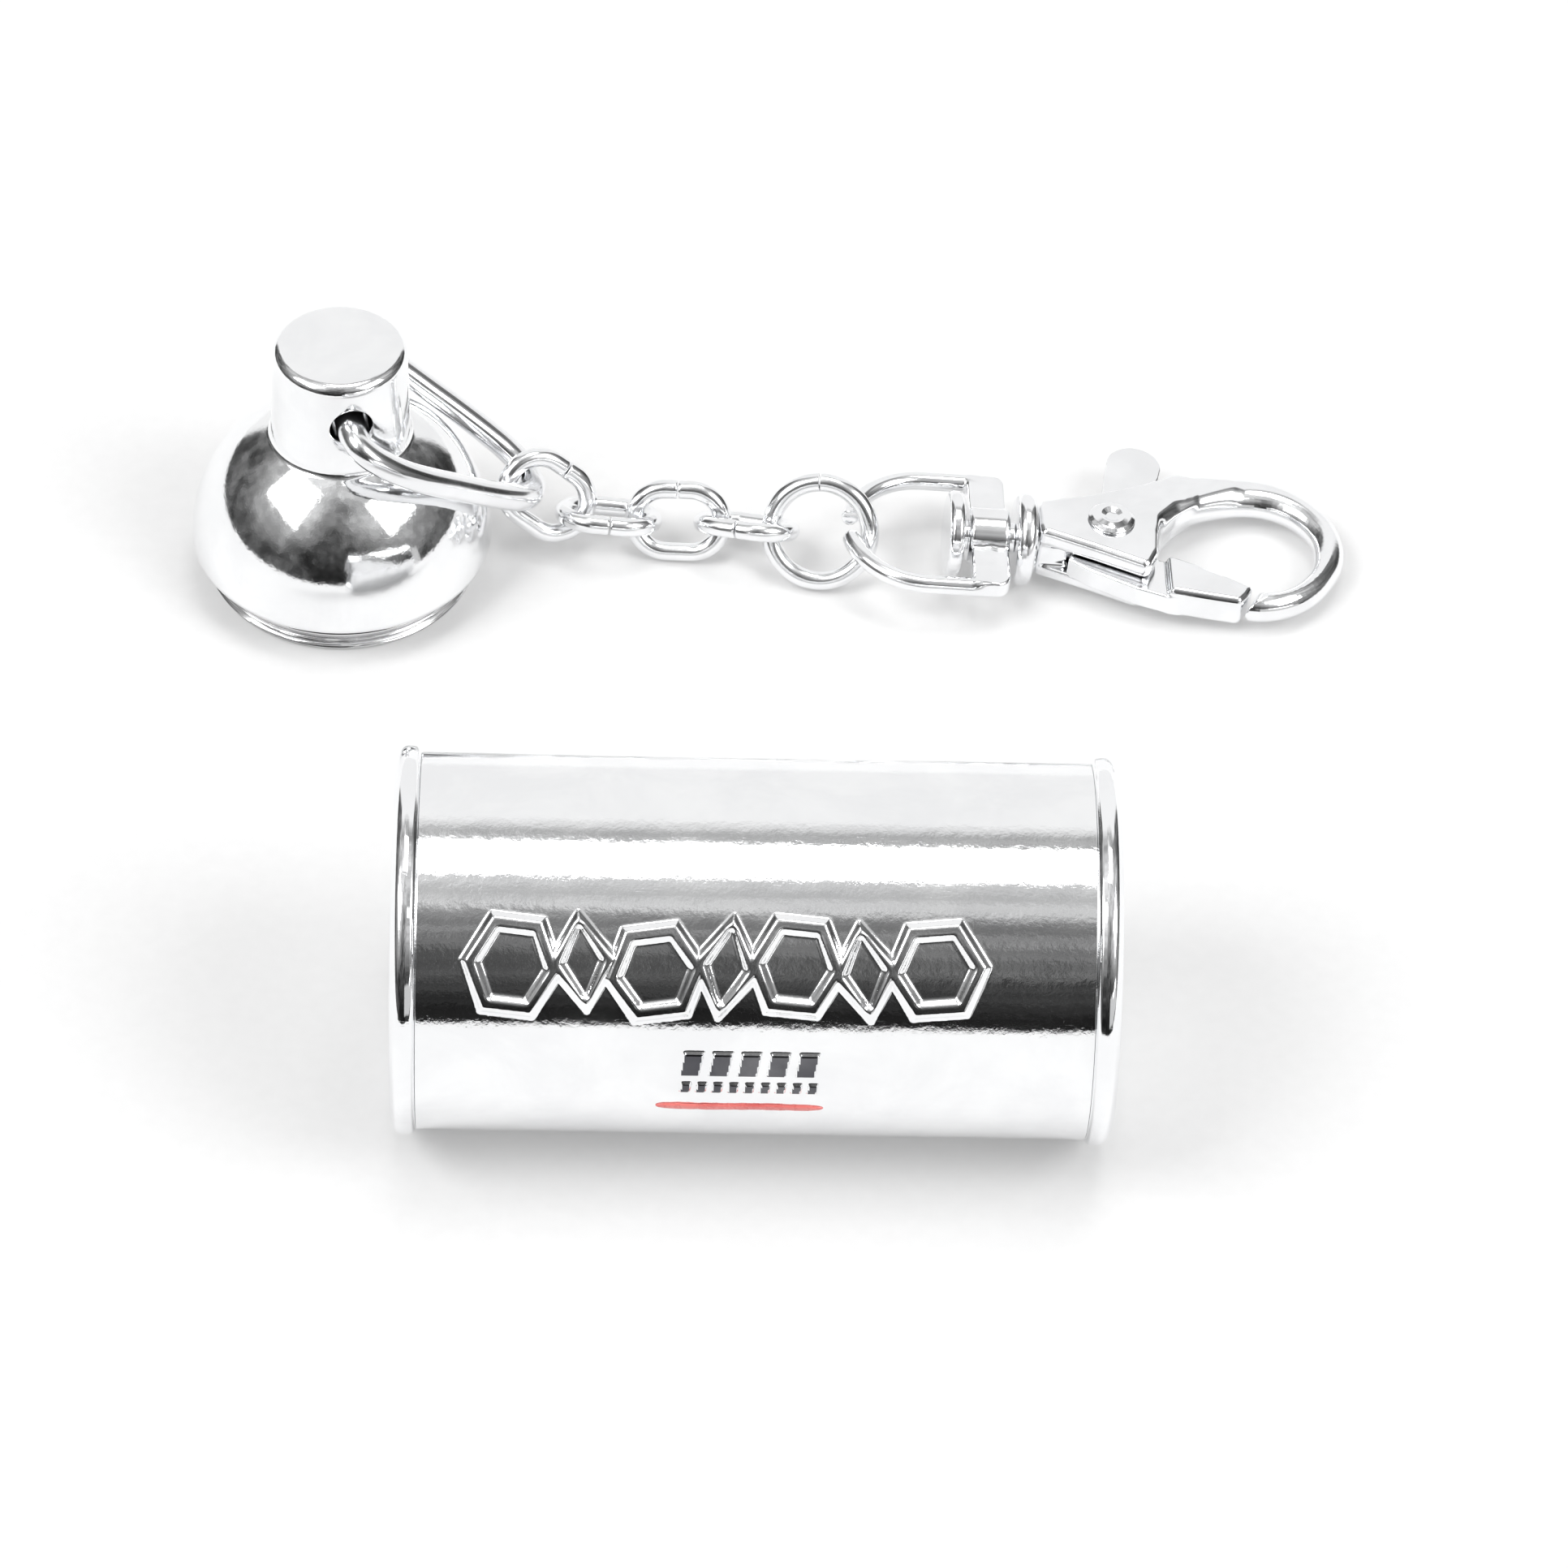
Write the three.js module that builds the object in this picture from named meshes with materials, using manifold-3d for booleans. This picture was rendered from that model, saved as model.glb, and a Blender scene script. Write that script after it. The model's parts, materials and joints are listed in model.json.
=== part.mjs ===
// Two-part chromed key fob shaped like a spray can: a hollow can lying on its side, and its
// screw-off dome cap standing beside it with bail, chain and swivel lobster clasp.
// Millimetres, +Z up, floor at z = 0.
import * as THREE from 'three';
import { mergeVertices } from 'three/addons/utils/BufferGeometryUtils.js';
import Module from 'manifold-3d';

const wasm = await Module();
wasm.setup();

// ---- layout ----
const ORIGIN = [-1.608, -4.48];            // plan position of the row origin in the layout frame
const CAN_CENTRE = [-1.55, -27.93, 12.49];
const CAN_YAW = 1.83;                    // degrees
const CAP_CENTRE = [-31.19, 20.395, 0];
const CHAIN_CONTACTS = [                 // where two chain wires cross, between their centres
  [-15.36, 23.0, 3.08], [-10.42, 23.15, 2.62], [-5.66, 22.85, 2.9], [-0.93, 21.55, 3.5], [4.53, 21.2, 3.95],
];
const CLASP_ORIGIN = [6, 21.4, 4.14];
const CLASP_AXIS = [32.3, 1.91, -2.84];

// ---- can ----
const TUBE_R = 12.07, TUBE_IN_R = 10.8, SEAM_A = 21.35, END_A = 23.0, BEAD_R = 12.49;
const SKIRT_R = 10.74, BASE_SKIRT_A = 17.5, DISC_T = 1.2;
const COLLAR_DEEP_A = 15.6, FEMALE_CREST_R = 9.02, FEMALE_ROOT_R = 9.32, THREAD_PITCH = 0.5;
const STRIPE_LEN = 10.6, STRIPE_ANGLE = -12.3, STRIPE_HALF_ANGLE = 1.6, STRIPE_X = -0.85, STRIPE_T = 0.16;

// ---- cap ----
const DOME_R = 10.31, DOME_Z = 3.11, RIM_Z = 2.45, FILLET_R = 1.2;
const NOZZLE_BASE_R = 4.78, NOZZLE_TOP_R = 4.57, NOZZLE_TOP_Z = 19.83;
const CAP_BORE_R = 8.95, CAP_BORE_Z = 6.3, CAVITY_R = 8.6, CAVITY_Z = 2.9;
const HOLE_R = 1.35, HOLE_Z = 16.2;
const PLUG_CREST_R = 9.21, PLUG_ROOT_R = 8.93, PLUG_IN_R = 7.9, PLUG_TOP_Z = 6.1;
const SEAL_R = 9.1, SEAL_WIRE_R = 0.33, SEAL_Z = 2.08;

// ---- bail: a flattened wire in an inclined plane through the cross hole ----
const BAIL_AZ = 13.76, BAIL_SLOPE = 39.15;           // degrees
const BAIL_HALF_WIDE = 1.0, BAIL_HALF_THICK = 0.85, BAIL_TIP = 17.1;

// ---- chain ----
const LINK_WIRE_R = 0.65, LINK_LEN = 6.2, LINK_WIDE = 4.5, RING_D = 6.9, LINK_SEAM = 0.12;
const LINK_ROLL = [[0.56, 0.53, 0.64], [0, -0.906, 0.42], [0, 0.42, 0.906], [0, -0.82, 0.57], [0, 0.53, 0.85]];

// ---- clasp (u along the swivel axis, v across, w up) ----
const EYE_WIRE_R = 0.635, EYE_HALF = 5.3, EYE_LEFT = -2.19, BAR_U0 = 6.05, BAR_U1 = 8.75;
const BARREL_R = 2.0, BARREL_U0 = 6.0, BARREL_U1 = 8.8, POST_R = 1.0, POST_CLEAR = 0.06;
const HEAD_R = 3.0, HEAD_U0 = 4.5, HEAD_U1 = 5.57, FLANGE_R = 3.25, FLANGE_U0 = 9.25, FLANGE_U1 = 10.6;
const CHEEK_TOP = 2.1, CHEEK_TOP_IN = 0.6, CHEEK_LOW_IN = -1.15, CHEEK_LOW = -2.1;
const HOOK_HALF_T = 1.2, LEVER_W0 = -1.05, LEVER_W1 = 0.5;
const PIVOT = [15.8, 0.2], RIVET_R = 0.9, RIVET_CLEAR = 0.05, LEVER_BOSS_R = 2.6;
const SPRING_POCKET_R = 2.05, SPRING_POCKET_W = -0.45, SPRING_R = 1.6, SPRING_WIRE_R = 0.13;

const rad = THREE.MathUtils.degToRad;

// ---- helpers ----
function oriented(geometry) {
  const g = new THREE.BufferGeometry();
  g.setAttribute('position', (geometry.index ? geometry.toNonIndexed() : geometry).getAttribute('position').clone());
  const m = mergeVertices(g, 1e-4);
  const p = m.getAttribute('position'), src = m.index.array, kept = [];
  let vol = 0;
  const a = new THREE.Vector3(), b = new THREE.Vector3(), c = new THREE.Vector3();
  for (let i = 0; i < src.length; i += 3) {
    if (src[i] === src[i + 1] || src[i + 1] === src[i + 2] || src[i] === src[i + 2]) continue;
    a.fromBufferAttribute(p, src[i]); b.fromBufferAttribute(p, src[i + 1]); c.fromBufferAttribute(p, src[i + 2]);
    vol += a.dot(b.clone().cross(c));
    kept.push(src[i], src[i + 1], src[i + 2]);
  }
  if (vol < 0) for (let i = 0; i < kept.length; i += 3) [kept[i + 1], kept[i + 2]] = [kept[i + 2], kept[i + 1]];
  m.setIndex(kept);
  return m;
}
function solid(geometry) {
  const m = oriented(geometry);
  return new wasm.Manifold(new wasm.Mesh({
    numProp: 3,
    vertProperties: new Float32Array(m.getAttribute('position').array),
    triVerts: new Uint32Array(m.index.array),
  }));
}
function unsolid(manifold) {
  const mesh = manifold.getMesh();
  const g = new THREE.BufferGeometry();
  const np = mesh.numProp, n = mesh.vertProperties.length / np, pos = new Float32Array(n * 3);
  for (let i = 0; i < n; i++) for (let k = 0; k < 3; k++) pos[i * 3 + k] = mesh.vertProperties[i * np + k];
  g.setAttribute('position', new THREE.BufferAttribute(pos, 3));
  g.setIndex(new THREE.BufferAttribute(new Uint32Array(mesh.triVerts), 1));
  g.computeVertexNormals();
  return g;
}
const lathe = (pts, seg) => new THREE.LatheGeometry(pts.map(([r, a]) => new THREE.Vector2(r, a)), seg);
const alongX = (g) => g.rotateZ(-Math.PI / 2);
const alongZ = (g) => g.rotateX(Math.PI / 2);
const closedRing = (pts) => [...pts, pts[0]];
function plate(points, w0, w1, bevel = 0, holes = []) {
  const shape = new THREE.Shape(points.map(([x, y]) => new THREE.Vector2(x, y)));
  for (const [x, y, r] of holes) {
    const h = new THREE.Path();
    h.absarc(x, y, r, 0, Math.PI * 2, true);
    shape.holes.push(h);
  }
  const g = new THREE.ExtrudeGeometry(shape, {
    depth: w1 - w0 - 2 * bevel, bevelEnabled: bevel > 0, bevelThickness: bevel, bevelSize: bevel,
    bevelOffset: -bevel, bevelSegments: 2, curveSegments: 10, steps: 1,
  });
  g.translate(0, 0, w0 + bevel);
  return g;
}
function smooth(points, perSpan, closed = false) {
  const c = new THREE.CatmullRomCurve3(points.map(([x, y]) => new THREE.Vector3(x, y, 0)), closed, 'centripetal');
  return c.getPoints((points.length - 1) * perSpan).map((p) => [p.x, p.y]);
}
function arc(cx, cy, r, a0, a1, n) {
  const out = [];
  for (let i = 0; i <= n; i++) {
    const t = rad(a0 + ((a1 - a0) * i) / n);
    out.push([cx + r * Math.cos(t), cy + r * Math.sin(t)]);
  }
  return out;
}
function ellipseShape(rx, ry, n) {
  const pts = [];
  for (let i = 0; i < n; i++) {
    const t = ((i + 0.5) / n) * Math.PI * 2;
    pts.push(new THREE.Vector2(rx * Math.cos(t), ry * Math.sin(t)));
  }
  return new THREE.Shape(pts);
}
function sweep(curve, rx, ry, sides, steps) {
  return new THREE.ExtrudeGeometry(ellipseShape(rx, ry, sides), { steps, bevelEnabled: false, extrudePath: curve });
}
class StadiumCurve extends THREE.Curve {
  constructor(len, wide, seam) {
    super();
    Object.assign(this, { r: wide / 2, s: (len - wide) / 2, seam });
    this.total = 4 * this.s + 2 * Math.PI * this.r;
  }
  getPoint(t, out = new THREE.Vector3()) {
    let d = this.seam / 2 + t * (this.total - this.seam);
    const { r, s } = this;
    if (d < s) return out.set(d, r, 0);
    d -= s;
    if (d < Math.PI * r) { const a = Math.PI / 2 - d / r; return out.set(s + r * Math.cos(a), r * Math.sin(a), 0); }
    d -= Math.PI * r;
    if (d < 2 * s) return out.set(s - d, -r, 0);
    d -= 2 * s;
    if (d < Math.PI * r) { const a = -Math.PI / 2 - d / r; return out.set(-s + r * Math.cos(a), r * Math.sin(a), 0); }
    d -= Math.PI * r;
    return out.set(-s + d, r, 0);
  }
}
class HelixCurve extends THREE.Curve {
  constructor(r, w0, pitch, turns) { super(); Object.assign(this, { r, w0, pitch, turns }); }
  getPoint(t, out = new THREE.Vector3()) {
    const a = t * this.turns * Math.PI * 2;
    return out.set(this.r * Math.cos(a), this.r * Math.sin(a), this.w0 + this.pitch * this.turns * t);
  }
}

// ---- assembly ----
const root = new THREE.Group();
root.name = 'can_key_fob';
const layout = new THREE.Group();
layout.position.set(-ORIGIN[0], -ORIGIN[1], 0);
root.add(layout);

const finish = {
  chrome: { color: 0xd4d6d8, metalness: 1, roughness: 0.08 },
  satin: { color: 0xc4c6c8, metalness: 1, roughness: 0.3 },
  rubber: { color: 0x151515, metalness: 0, roughness: 0.7 },
  enamel: { color: 0xb3202a, metalness: 0, roughness: 0.35 },
};
function place(group, name, geometry, kind = 'chrome') {
  const mesh = new THREE.Mesh(geometry, new THREE.MeshStandardMaterial(finish[kind]));
  mesh.name = name;
  mesh.material.name = name;
  group.add(mesh);
  return mesh;
}
const finished = (g) => { const m = oriented(g); m.computeVertexNormals(); return m; };

// Can: tube, base cap with a recessed disc, and the threaded collar at its mouth (-X end).
const can = new THREE.Group();
can.position.set(...CAN_CENTRE);
can.rotation.z = rad(CAN_YAW);
layout.add(can);
const TUBE_A = SEAM_A - 0.06;
place(can, 'can_tube', finished(alongX(lathe(closedRing([
  [TUBE_IN_R, -TUBE_A], [TUBE_R - 0.12, -TUBE_A], [TUBE_R, -TUBE_A + 0.12],
  [TUBE_R, TUBE_A - 0.12], [TUBE_R - 0.12, TUBE_A], [TUBE_IN_R, TUBE_A],
]), 48))));
const bead = (s) => [
  [TUBE_R + 0.02, s * SEAM_A], [BEAD_R - 0.12, s * (SEAM_A + 0.13)], [BEAD_R, s * (SEAM_A + 0.5)],
  [BEAD_R, s * (END_A - 0.55)], [BEAD_R - 0.18, s * (END_A - 0.18)], [BEAD_R - 0.6, s * END_A],
];
const DISC_A = END_A - 1.4;
place(can, 'base_cap', finished(alongX(lathe([
  [0, DISC_A - DISC_T], [SKIRT_R - 1, DISC_A - DISC_T], [SKIRT_R - 1, BASE_SKIRT_A], [SKIRT_R, BASE_SKIRT_A],
  [SKIRT_R, SEAM_A], ...bead(1), [SKIRT_R + 0.4, END_A], [SKIRT_R + 0.1, END_A - 0.2],
  [SKIRT_R, END_A - 0.6], [SKIRT_R, DISC_A], [0, DISC_A],
], 44))));
const femaleThread = [];
for (let i = 0; i < 4; i++) {
  const a = -END_A + 0.85 + i * THREAD_PITCH;
  femaleThread.push([FEMALE_CREST_R, a], [FEMALE_ROOT_R, a + THREAD_PITCH / 2]);
}
place(can, 'neck_collar', finished(alongX(lathe(closedRing([
  [SKIRT_R, -COLLAR_DEEP_A], [SKIRT_R, -SEAM_A], ...bead(-1), [10.45, -END_A], [9.55, -END_A + 0.35],
  ...femaleThread, [FEMALE_CREST_R, -END_A + 0.85 + 4 * THREAD_PITCH], [FEMALE_CREST_R + 0.05, -COLLAR_DEEP_A],
]), 44))));
{
  const r0 = TUBE_R + 0.02, r1 = r0 + STRIPE_T;
  const ring = (r, s) => arc(0, 0, r, -s * STRIPE_HALF_ANGLE, s * STRIPE_HALF_ANGLE, 2);
  const g = plate([...ring(r1, 1), ...ring(r0, -1)], -STRIPE_LEN / 2, STRIPE_LEN / 2);
  // plate lies in XY with thickness along Z: turn thickness to X and the outward direction to -Y
  g.applyMatrix4(new THREE.Matrix4().makeBasis(
    new THREE.Vector3(0, -Math.cos(rad(STRIPE_ANGLE)), Math.sin(rad(STRIPE_ANGLE))),
    new THREE.Vector3(0, Math.sin(rad(STRIPE_ANGLE)), Math.cos(rad(STRIPE_ANGLE))),
    new THREE.Vector3(-1, 0, 0)));
  g.translate(STRIPE_X, 0, 0);
  place(can, 'enamel_stripe', finished(g), 'enamel');
}

// Cap: dome with nozzle, threaded plug pressed into it, and a seal ring under the rim.
const cap = new THREE.Group();
cap.position.set(...CAP_CENTRE);
layout.add(cap);
const hAxis = new THREE.Vector3(Math.sin(rad(BAIL_AZ)), -Math.cos(rad(BAIL_AZ)), 0);
{
  const fr = NOZZLE_BASE_R + FILLET_R, fz = DOME_Z + Math.sqrt((DOME_R + FILLET_R) ** 2 - fr ** 2);
  const touch = Math.atan2(fz - DOME_Z, fr);
  const cavity0 = Math.asin((CAP_BORE_Z - CAVITY_Z) / CAVITY_R);
  const pts = [];
  for (let i = 0; i <= 4; i++) {          // cavity ceiling from the axis outwards
    const a = Math.PI / 2 - ((Math.PI / 2 - cavity0) * i) / 4;
    pts.push([i === 0 ? 0 : CAVITY_R * Math.cos(a), CAVITY_Z + CAVITY_R * Math.sin(a)]);
  }
  pts.push([CAP_BORE_R, CAP_BORE_Z], [CAP_BORE_R, RIM_Z + 0.15], [CAP_BORE_R + 0.5, RIM_Z], [9.72, RIM_Z], [10.0, 2.54], [10.2, 2.76]);
  for (let i = 0; i <= 8; i++) {
    const a = (touch * i) / 8;
    pts.push([DOME_R * Math.cos(a), DOME_Z + DOME_R * Math.sin(a)]);
  }
  for (let i = 1; i <= 3; i++) {
    const a = Math.PI + touch + ((Math.PI - (Math.PI + touch)) * i) / 3;
    pts.push([fr + FILLET_R * Math.cos(a), fz + FILLET_R * Math.sin(a)]);
  }
  pts.push([NOZZLE_TOP_R, NOZZLE_TOP_Z - 0.62], [4.5, NOZZLE_TOP_Z - 0.34], [4.34, NOZZLE_TOP_Z - 0.11], [4.1, NOZZLE_TOP_Z], [0, NOZZLE_TOP_Z]);
  const body = solid(alongZ(lathe(pts, 40)));
  const L = 5.2;
  const tool = lathe([[0, -L], [2.35, -L], [1.92, -4.52], [HOLE_R, -4.25], [HOLE_R, 4.25], [1.92, 4.52], [2.35, L], [0, L]], 18);
  tool.applyQuaternion(new THREE.Quaternion().setFromUnitVectors(new THREE.Vector3(0, 1, 0), hAxis));
  tool.translate(0, 0, HOLE_Z);
  place(cap, 'dome_cap', unsolid(body.subtract(solid(tool))));
}
place(cap, 'thread_plug', finished(alongZ(lathe(closedRing([
  [PLUG_IN_R, 0], [PLUG_ROOT_R - 0.15, 0], [PLUG_ROOT_R, 0.12],
  [PLUG_CREST_R, 0.3], [PLUG_ROOT_R, 0.55], [PLUG_CREST_R, 0.8], [PLUG_ROOT_R, 1.05], [PLUG_CREST_R, 1.3],
  [PLUG_CREST_R, 1.7], [8.72, 1.7], [8.72, 2.7], [CAP_BORE_R - 0.05, 2.85], [CAP_BORE_R - 0.05, PLUG_TOP_Z], [PLUG_IN_R, PLUG_TOP_Z],
]), 40))));
place(cap, 'seal_ring', finished(new THREE.TorusGeometry(SEAL_R, SEAL_WIRE_R, 6, 36).translate(0, 0, SEAL_Z)), 'rubber');

// Bail: local x down the slope, local y along the cross hole, local z out of its plane.
const slope = new THREE.Vector3(
  Math.cos(rad(BAIL_AZ)) * Math.cos(rad(BAIL_SLOPE)), Math.sin(rad(BAIL_AZ)) * Math.cos(rad(BAIL_SLOPE)), -Math.sin(rad(BAIL_SLOPE)));
const bailFar = hAxis.clone().negate();
const bailUp = slope.clone().cross(bailFar);
{
  const near = [
    [0, -0.15], [0, -1.5], [0, -3.0], [0, -4.3], [0.02, -5.25], [0.32, -6.15], [1.15, -6.68], [2.3, -6.84], [3.6, -6.82], [5.3, -6.5],
    [6.9, -6.02], [8.9, -5.3], [11.4, -4.42], [14.0, -3.35], [15.5, -2.55], [16.6, -1.5], [BAIL_TIP, 0],
  ];
  const far = near.slice(0, -1).map(([t, s]) => [t, -s * (t > 5 ? 0.975 : 0.985)]).reverse();
  far[far.length - 1][1] = 0.15;
  const curve = new THREE.CatmullRomCurve3([...near, ...far].map(([x, y]) => new THREE.Vector3(x, y, 0)), false, 'centripetal');
  curve.arcLengthDivisions = 1200;
  const mesh = place(layout, 'bail', finished(sweep(curve, BAIL_HALF_THICK, BAIL_HALF_WIDE, 10, 64)));
  mesh.position.set(CAP_CENTRE[0], CAP_CENTRE[1], HOLE_Z);
  mesh.quaternion.setFromRotationMatrix(new THREE.Matrix4().makeBasis(slope, bailFar, bailUp));
}

// Chain: five closed wire links; the last is the round ring in the swivel eye.
{
  const first = new THREE.Vector3(CAP_CENTRE[0], CAP_CENTRE[1], HOLE_Z).addScaledVector(slope, BAIL_TIP - BAIL_HALF_WIDE - LINK_WIRE_R - 0.06);
  const pts = CHAIN_CONTACTS.map((p) => new THREE.Vector3(...p));
  for (let i = 0; i < 5; i++) {
    const len = i === 4 ? RING_D : LINK_LEN, wide = i === 4 ? RING_D : LINK_WIDE;
    const a = i === 0 ? first : pts[i - 1], b = pts[i];
    const e1 = b.clone().sub(a).normalize();
    const c = i === 0 ? first.clone().addScaledVector(e1, len / 2) : a.clone().add(b).multiplyScalar(0.5);
    const e2 = new THREE.Vector3(...LINK_ROLL[i]);
    e2.addScaledVector(e1, -e2.dot(e1)).normalize();
    const e3 = e1.clone().cross(e2);
    const mesh = place(layout, i === 4 ? 'chain_ring' : `chain_link_${i + 1}`,
      finished(sweep(new StadiumCurve(len, wide, LINK_SEAM), LINK_WIRE_R, LINK_WIRE_R, 8, i === 4 ? 32 : 30)));
    mesh.position.copy(c);
    mesh.quaternion.setFromRotationMatrix(new THREE.Matrix4().makeBasis(e1, e2, e3));
  }
}

// Clasp.
const clasp = new THREE.Group();
{
  const u = new THREE.Vector3(...CLASP_AXIS).normalize();
  const v = new THREE.Vector3(0, 0, 1).cross(u).normalize();
  const w = u.clone().cross(v);
  clasp.position.set(...CLASP_ORIGIN);
  clasp.quaternion.setFromRotationMatrix(new THREE.Matrix4().makeBasis(u, v, w));
}
layout.add(clasp);
{
  const c = EYE_LEFT + EYE_HALF, k = 1.2, U = 7.4;
  const loop = [
    [U, 0.6], [U, EYE_HALF - k], ...arc(U - k, EYE_HALF - k, k, 0, 90, 4).slice(1), ...arc(c, 0, EYE_HALF, 90, 270, 16),
    ...arc(U - k, -EYE_HALF + k, k, 270, 360, 4), [U, -0.6],
  ];
  const path = new THREE.CatmullRomCurve3(loop.map(([x, y]) => new THREE.Vector3(x, y, 0)), false, 'centripetal');
  path.arcLengthDivisions = 800;
  const wire = solid(sweep(path, EYE_WIRE_R, EYE_WIRE_R, 8, 44));
  const q = 0.9, y = EYE_HALF - 0.1;
  const bar = solid(plate([
    ...arc(BAR_U1 - q, y - q, q, 0, 90, 4), ...arc(BAR_U0 + 0.25, y - 0.9, 0.25, 90, 180, 2),
    ...arc(BAR_U0 + 0.25, -y + 0.9, 0.25, 180, 270, 2), ...arc(BAR_U1 - q, -y + q, q, 270, 360, 4),
  ], -EYE_WIRE_R, EYE_WIRE_R, 0.2));
  const barrel = solid(alongX(lathe([
    [0, BARREL_U0], [BARREL_R - 0.25, BARREL_U0], [BARREL_R, BARREL_U0 + 0.25], [BARREL_R, BARREL_U1 - 0.25], [BARREL_R - 0.25, BARREL_U1], [0, BARREL_U1],
  ], 20)));
  const bore = solid(alongX(lathe([[0, 5], [POST_R + POST_CLEAR, 5], [POST_R + POST_CLEAR, 10], [0, 10]], 16)));
  place(clasp, 'swivel_eye', unsolid(wire.add(bar).add(barrel).subtract(bore)));
}
place(clasp, 'swivel_post', finished(alongX(lathe([
  [0, HEAD_U0], [HEAD_R - 0.25, HEAD_U0], [HEAD_R, HEAD_U0 + 0.22], [HEAD_R, HEAD_U1 - 0.22], [HEAD_R - 0.25, HEAD_U1],
  [POST_R, HEAD_U1], [POST_R, FLANGE_U0], [FLANGE_R - 0.25, FLANGE_U0], [FLANGE_R, FLANGE_U0 + 0.25],
  [FLANGE_R, FLANGE_U1 - 0.25], [FLANGE_R - 0.25, FLANGE_U1], [POST_R, FLANGE_U1], [POST_R, 13.0], [0, 13.0],
], 24))));
{
  const cheek = [
    [10.95, -1.4], [10.78, -1.0], [10.78, 1.5], [10.95, 1.95], [14.5, 2.95], [18.2, 4.35], [19.5, 5.15], [20.6, 6.0],
    [21.8, 5.9], [22.1, 3.7], [20.7, 2.6], [19.5, 0.9], [19.15, -0.7], [19.0, -2.6], [18.4, -4.0], [17.9, -4.15], [14.5, -2.75],
  ];
  const low = [
    [10.95, -1.4], [10.78, -1.0], [10.78, 1.5], [10.95, 1.95], [14.5, 2.95], [18.2, 4.35], [19.5, 5.15], [20.6, 5.9],
    [21.2, 5.2], [21.0, 3.2], [19.6, 1.2], [18.95, -0.6], [18.4, -3.6], [17.7, -4.1], [14.5, -2.75],
  ];
  const outer = smooth([
    [20.35, 6.4], [22.2, 6.8], [24.16, 6.98], [26.0, 7.0], [27.4, 6.8], [28.9, 6.2], [30.54, 4.96], [31.66, 3.51], [32.25, 2.01],
    [32.42, 0.4], [32.2, -1.1], [31.63, -2.41], [30.58, -4.09], [29.16, -5.43], [27.66, -6.17], [26.3, -6.45], [25.0, -6.42],
  ], 2);
  const inner = smooth([
    [25.86, -4.6], [26.5, -4.5], [27.24, -4.33], [28.22, -3.78], [29.3, -2.68], [30.05, -1.32], [30.3, 0.17], [30.15, 1.46], [29.5, 2.66],
    [28.5, 3.6], [27.13, 4.15], [25.59, 4.2], [24.03, 3.85], [21.94, 3.0], [20.75, 2.2],
  ], 2);
  const hook = solid(plate([...outer, ...inner].reverse(), -HOOK_HALF_T, HOOK_HALF_T, 0.42));
  const hookRoot = solid(plate([
    [20.2, 5.9], [21.6, 5.9], [22.0, 3.6], [20.43, 1.95], [19.6, 0.75], [19.2, 0.42], [18.85, 0.45], [18.78, 1.8], [19.15, 3.6],
  ], -HOOK_HALF_T + 0.02, HOOK_HALF_T - 0.02));
  const web = solid(plate([
    [10.85, -1.3], [12.95, -1.3], [12.82, -0.6], [12.8, 0.2], [12.85, 1.0], [13.05, 1.5], [10.85, 1.5],
  ], CHEEK_LOW + 0.3, CHEEK_TOP - 0.3));
  const pin = alongZ(lathe([[0, -3], [RIVET_R + RIVET_CLEAR, -3], [RIVET_R + RIVET_CLEAR, 3], [0, 3]], 24)).translate(PIVOT[0], PIVOT[1], 0);
  const socket = alongX(lathe([[0, 9], [POST_R + 0.04, 9], [POST_R + 0.04, 13.2], [0, 13.2]], 24));
  const upper = solid(plate(cheek, CHEEK_TOP_IN, CHEEK_TOP, 0.28));
  const lower = solid(plate(low, CHEEK_LOW, CHEEK_LOW_IN, 0.2));
  place(clasp, 'claw_body', unsolid(hook.add(hookRoot).add(upper).add(lower).add(web).subtract(solid(pin)).subtract(solid(socket))));
}
{
  const inside = [
    [12.9, -2.35], [14.5, -3.45], [17.6, -4.95], [19.6, -5.6], [20.6, -5.75],
    [20.6, -2.2], [19.3, -1.85], ...arc(PIVOT[0], PIVOT[1], LEVER_BOSS_R, -20, 24, 4),
    [18.55, 3.9], [19.75, 6.6], ...arc(18.05, 7.8, 1.92, -8, 180, 10), [15.7, 5.0], [15.1, 3.0],
    ...arc(PIVOT[0], PIVOT[1], LEVER_BOSS_R, 110, 205, 6),
  ];
  const bar = [
    [19.7, -5.6], [22.59, -6.05], [24.62, -6.3], [25.2, -5.5], [25.6, -4.62], [23.71, -3.6], [21.72, -2.6], [20.4, -2.05], [19.7, -1.9],
  ];
  const arm = solid(plate(inside, LEVER_W0, LEVER_W1, 0));
  const thick = solid(plate(bar, -HOOK_HALF_T, HOOK_HALF_T, 0.3));
  const pin = alongZ(lathe([[0, -3], [RIVET_R + RIVET_CLEAR, -3], [RIVET_R + RIVET_CLEAR, 3], [0, 3]], 24)).translate(PIVOT[0], PIVOT[1], 0);
  const pocket = alongZ(lathe([[0, SPRING_POCKET_W], [SPRING_POCKET_R, SPRING_POCKET_W], [SPRING_POCKET_R, 3], [0, 3]], 24)).translate(PIVOT[0], PIVOT[1], 0);
  place(clasp, 'gate_lever', unsolid(arm.add(thick).subtract(solid(pin)).subtract(solid(pocket))));
  const turns = 2, pitch = 0.29;
  const spring = sweep(new HelixCurve(SPRING_R, SPRING_POCKET_W + 0.05 + SPRING_WIRE_R, pitch, turns), SPRING_WIRE_R, SPRING_WIRE_R, 5, 28);
  spring.translate(PIVOT[0], PIVOT[1], 0);
  place(clasp, 'gate_spring', finished(spring), 'satin');
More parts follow.
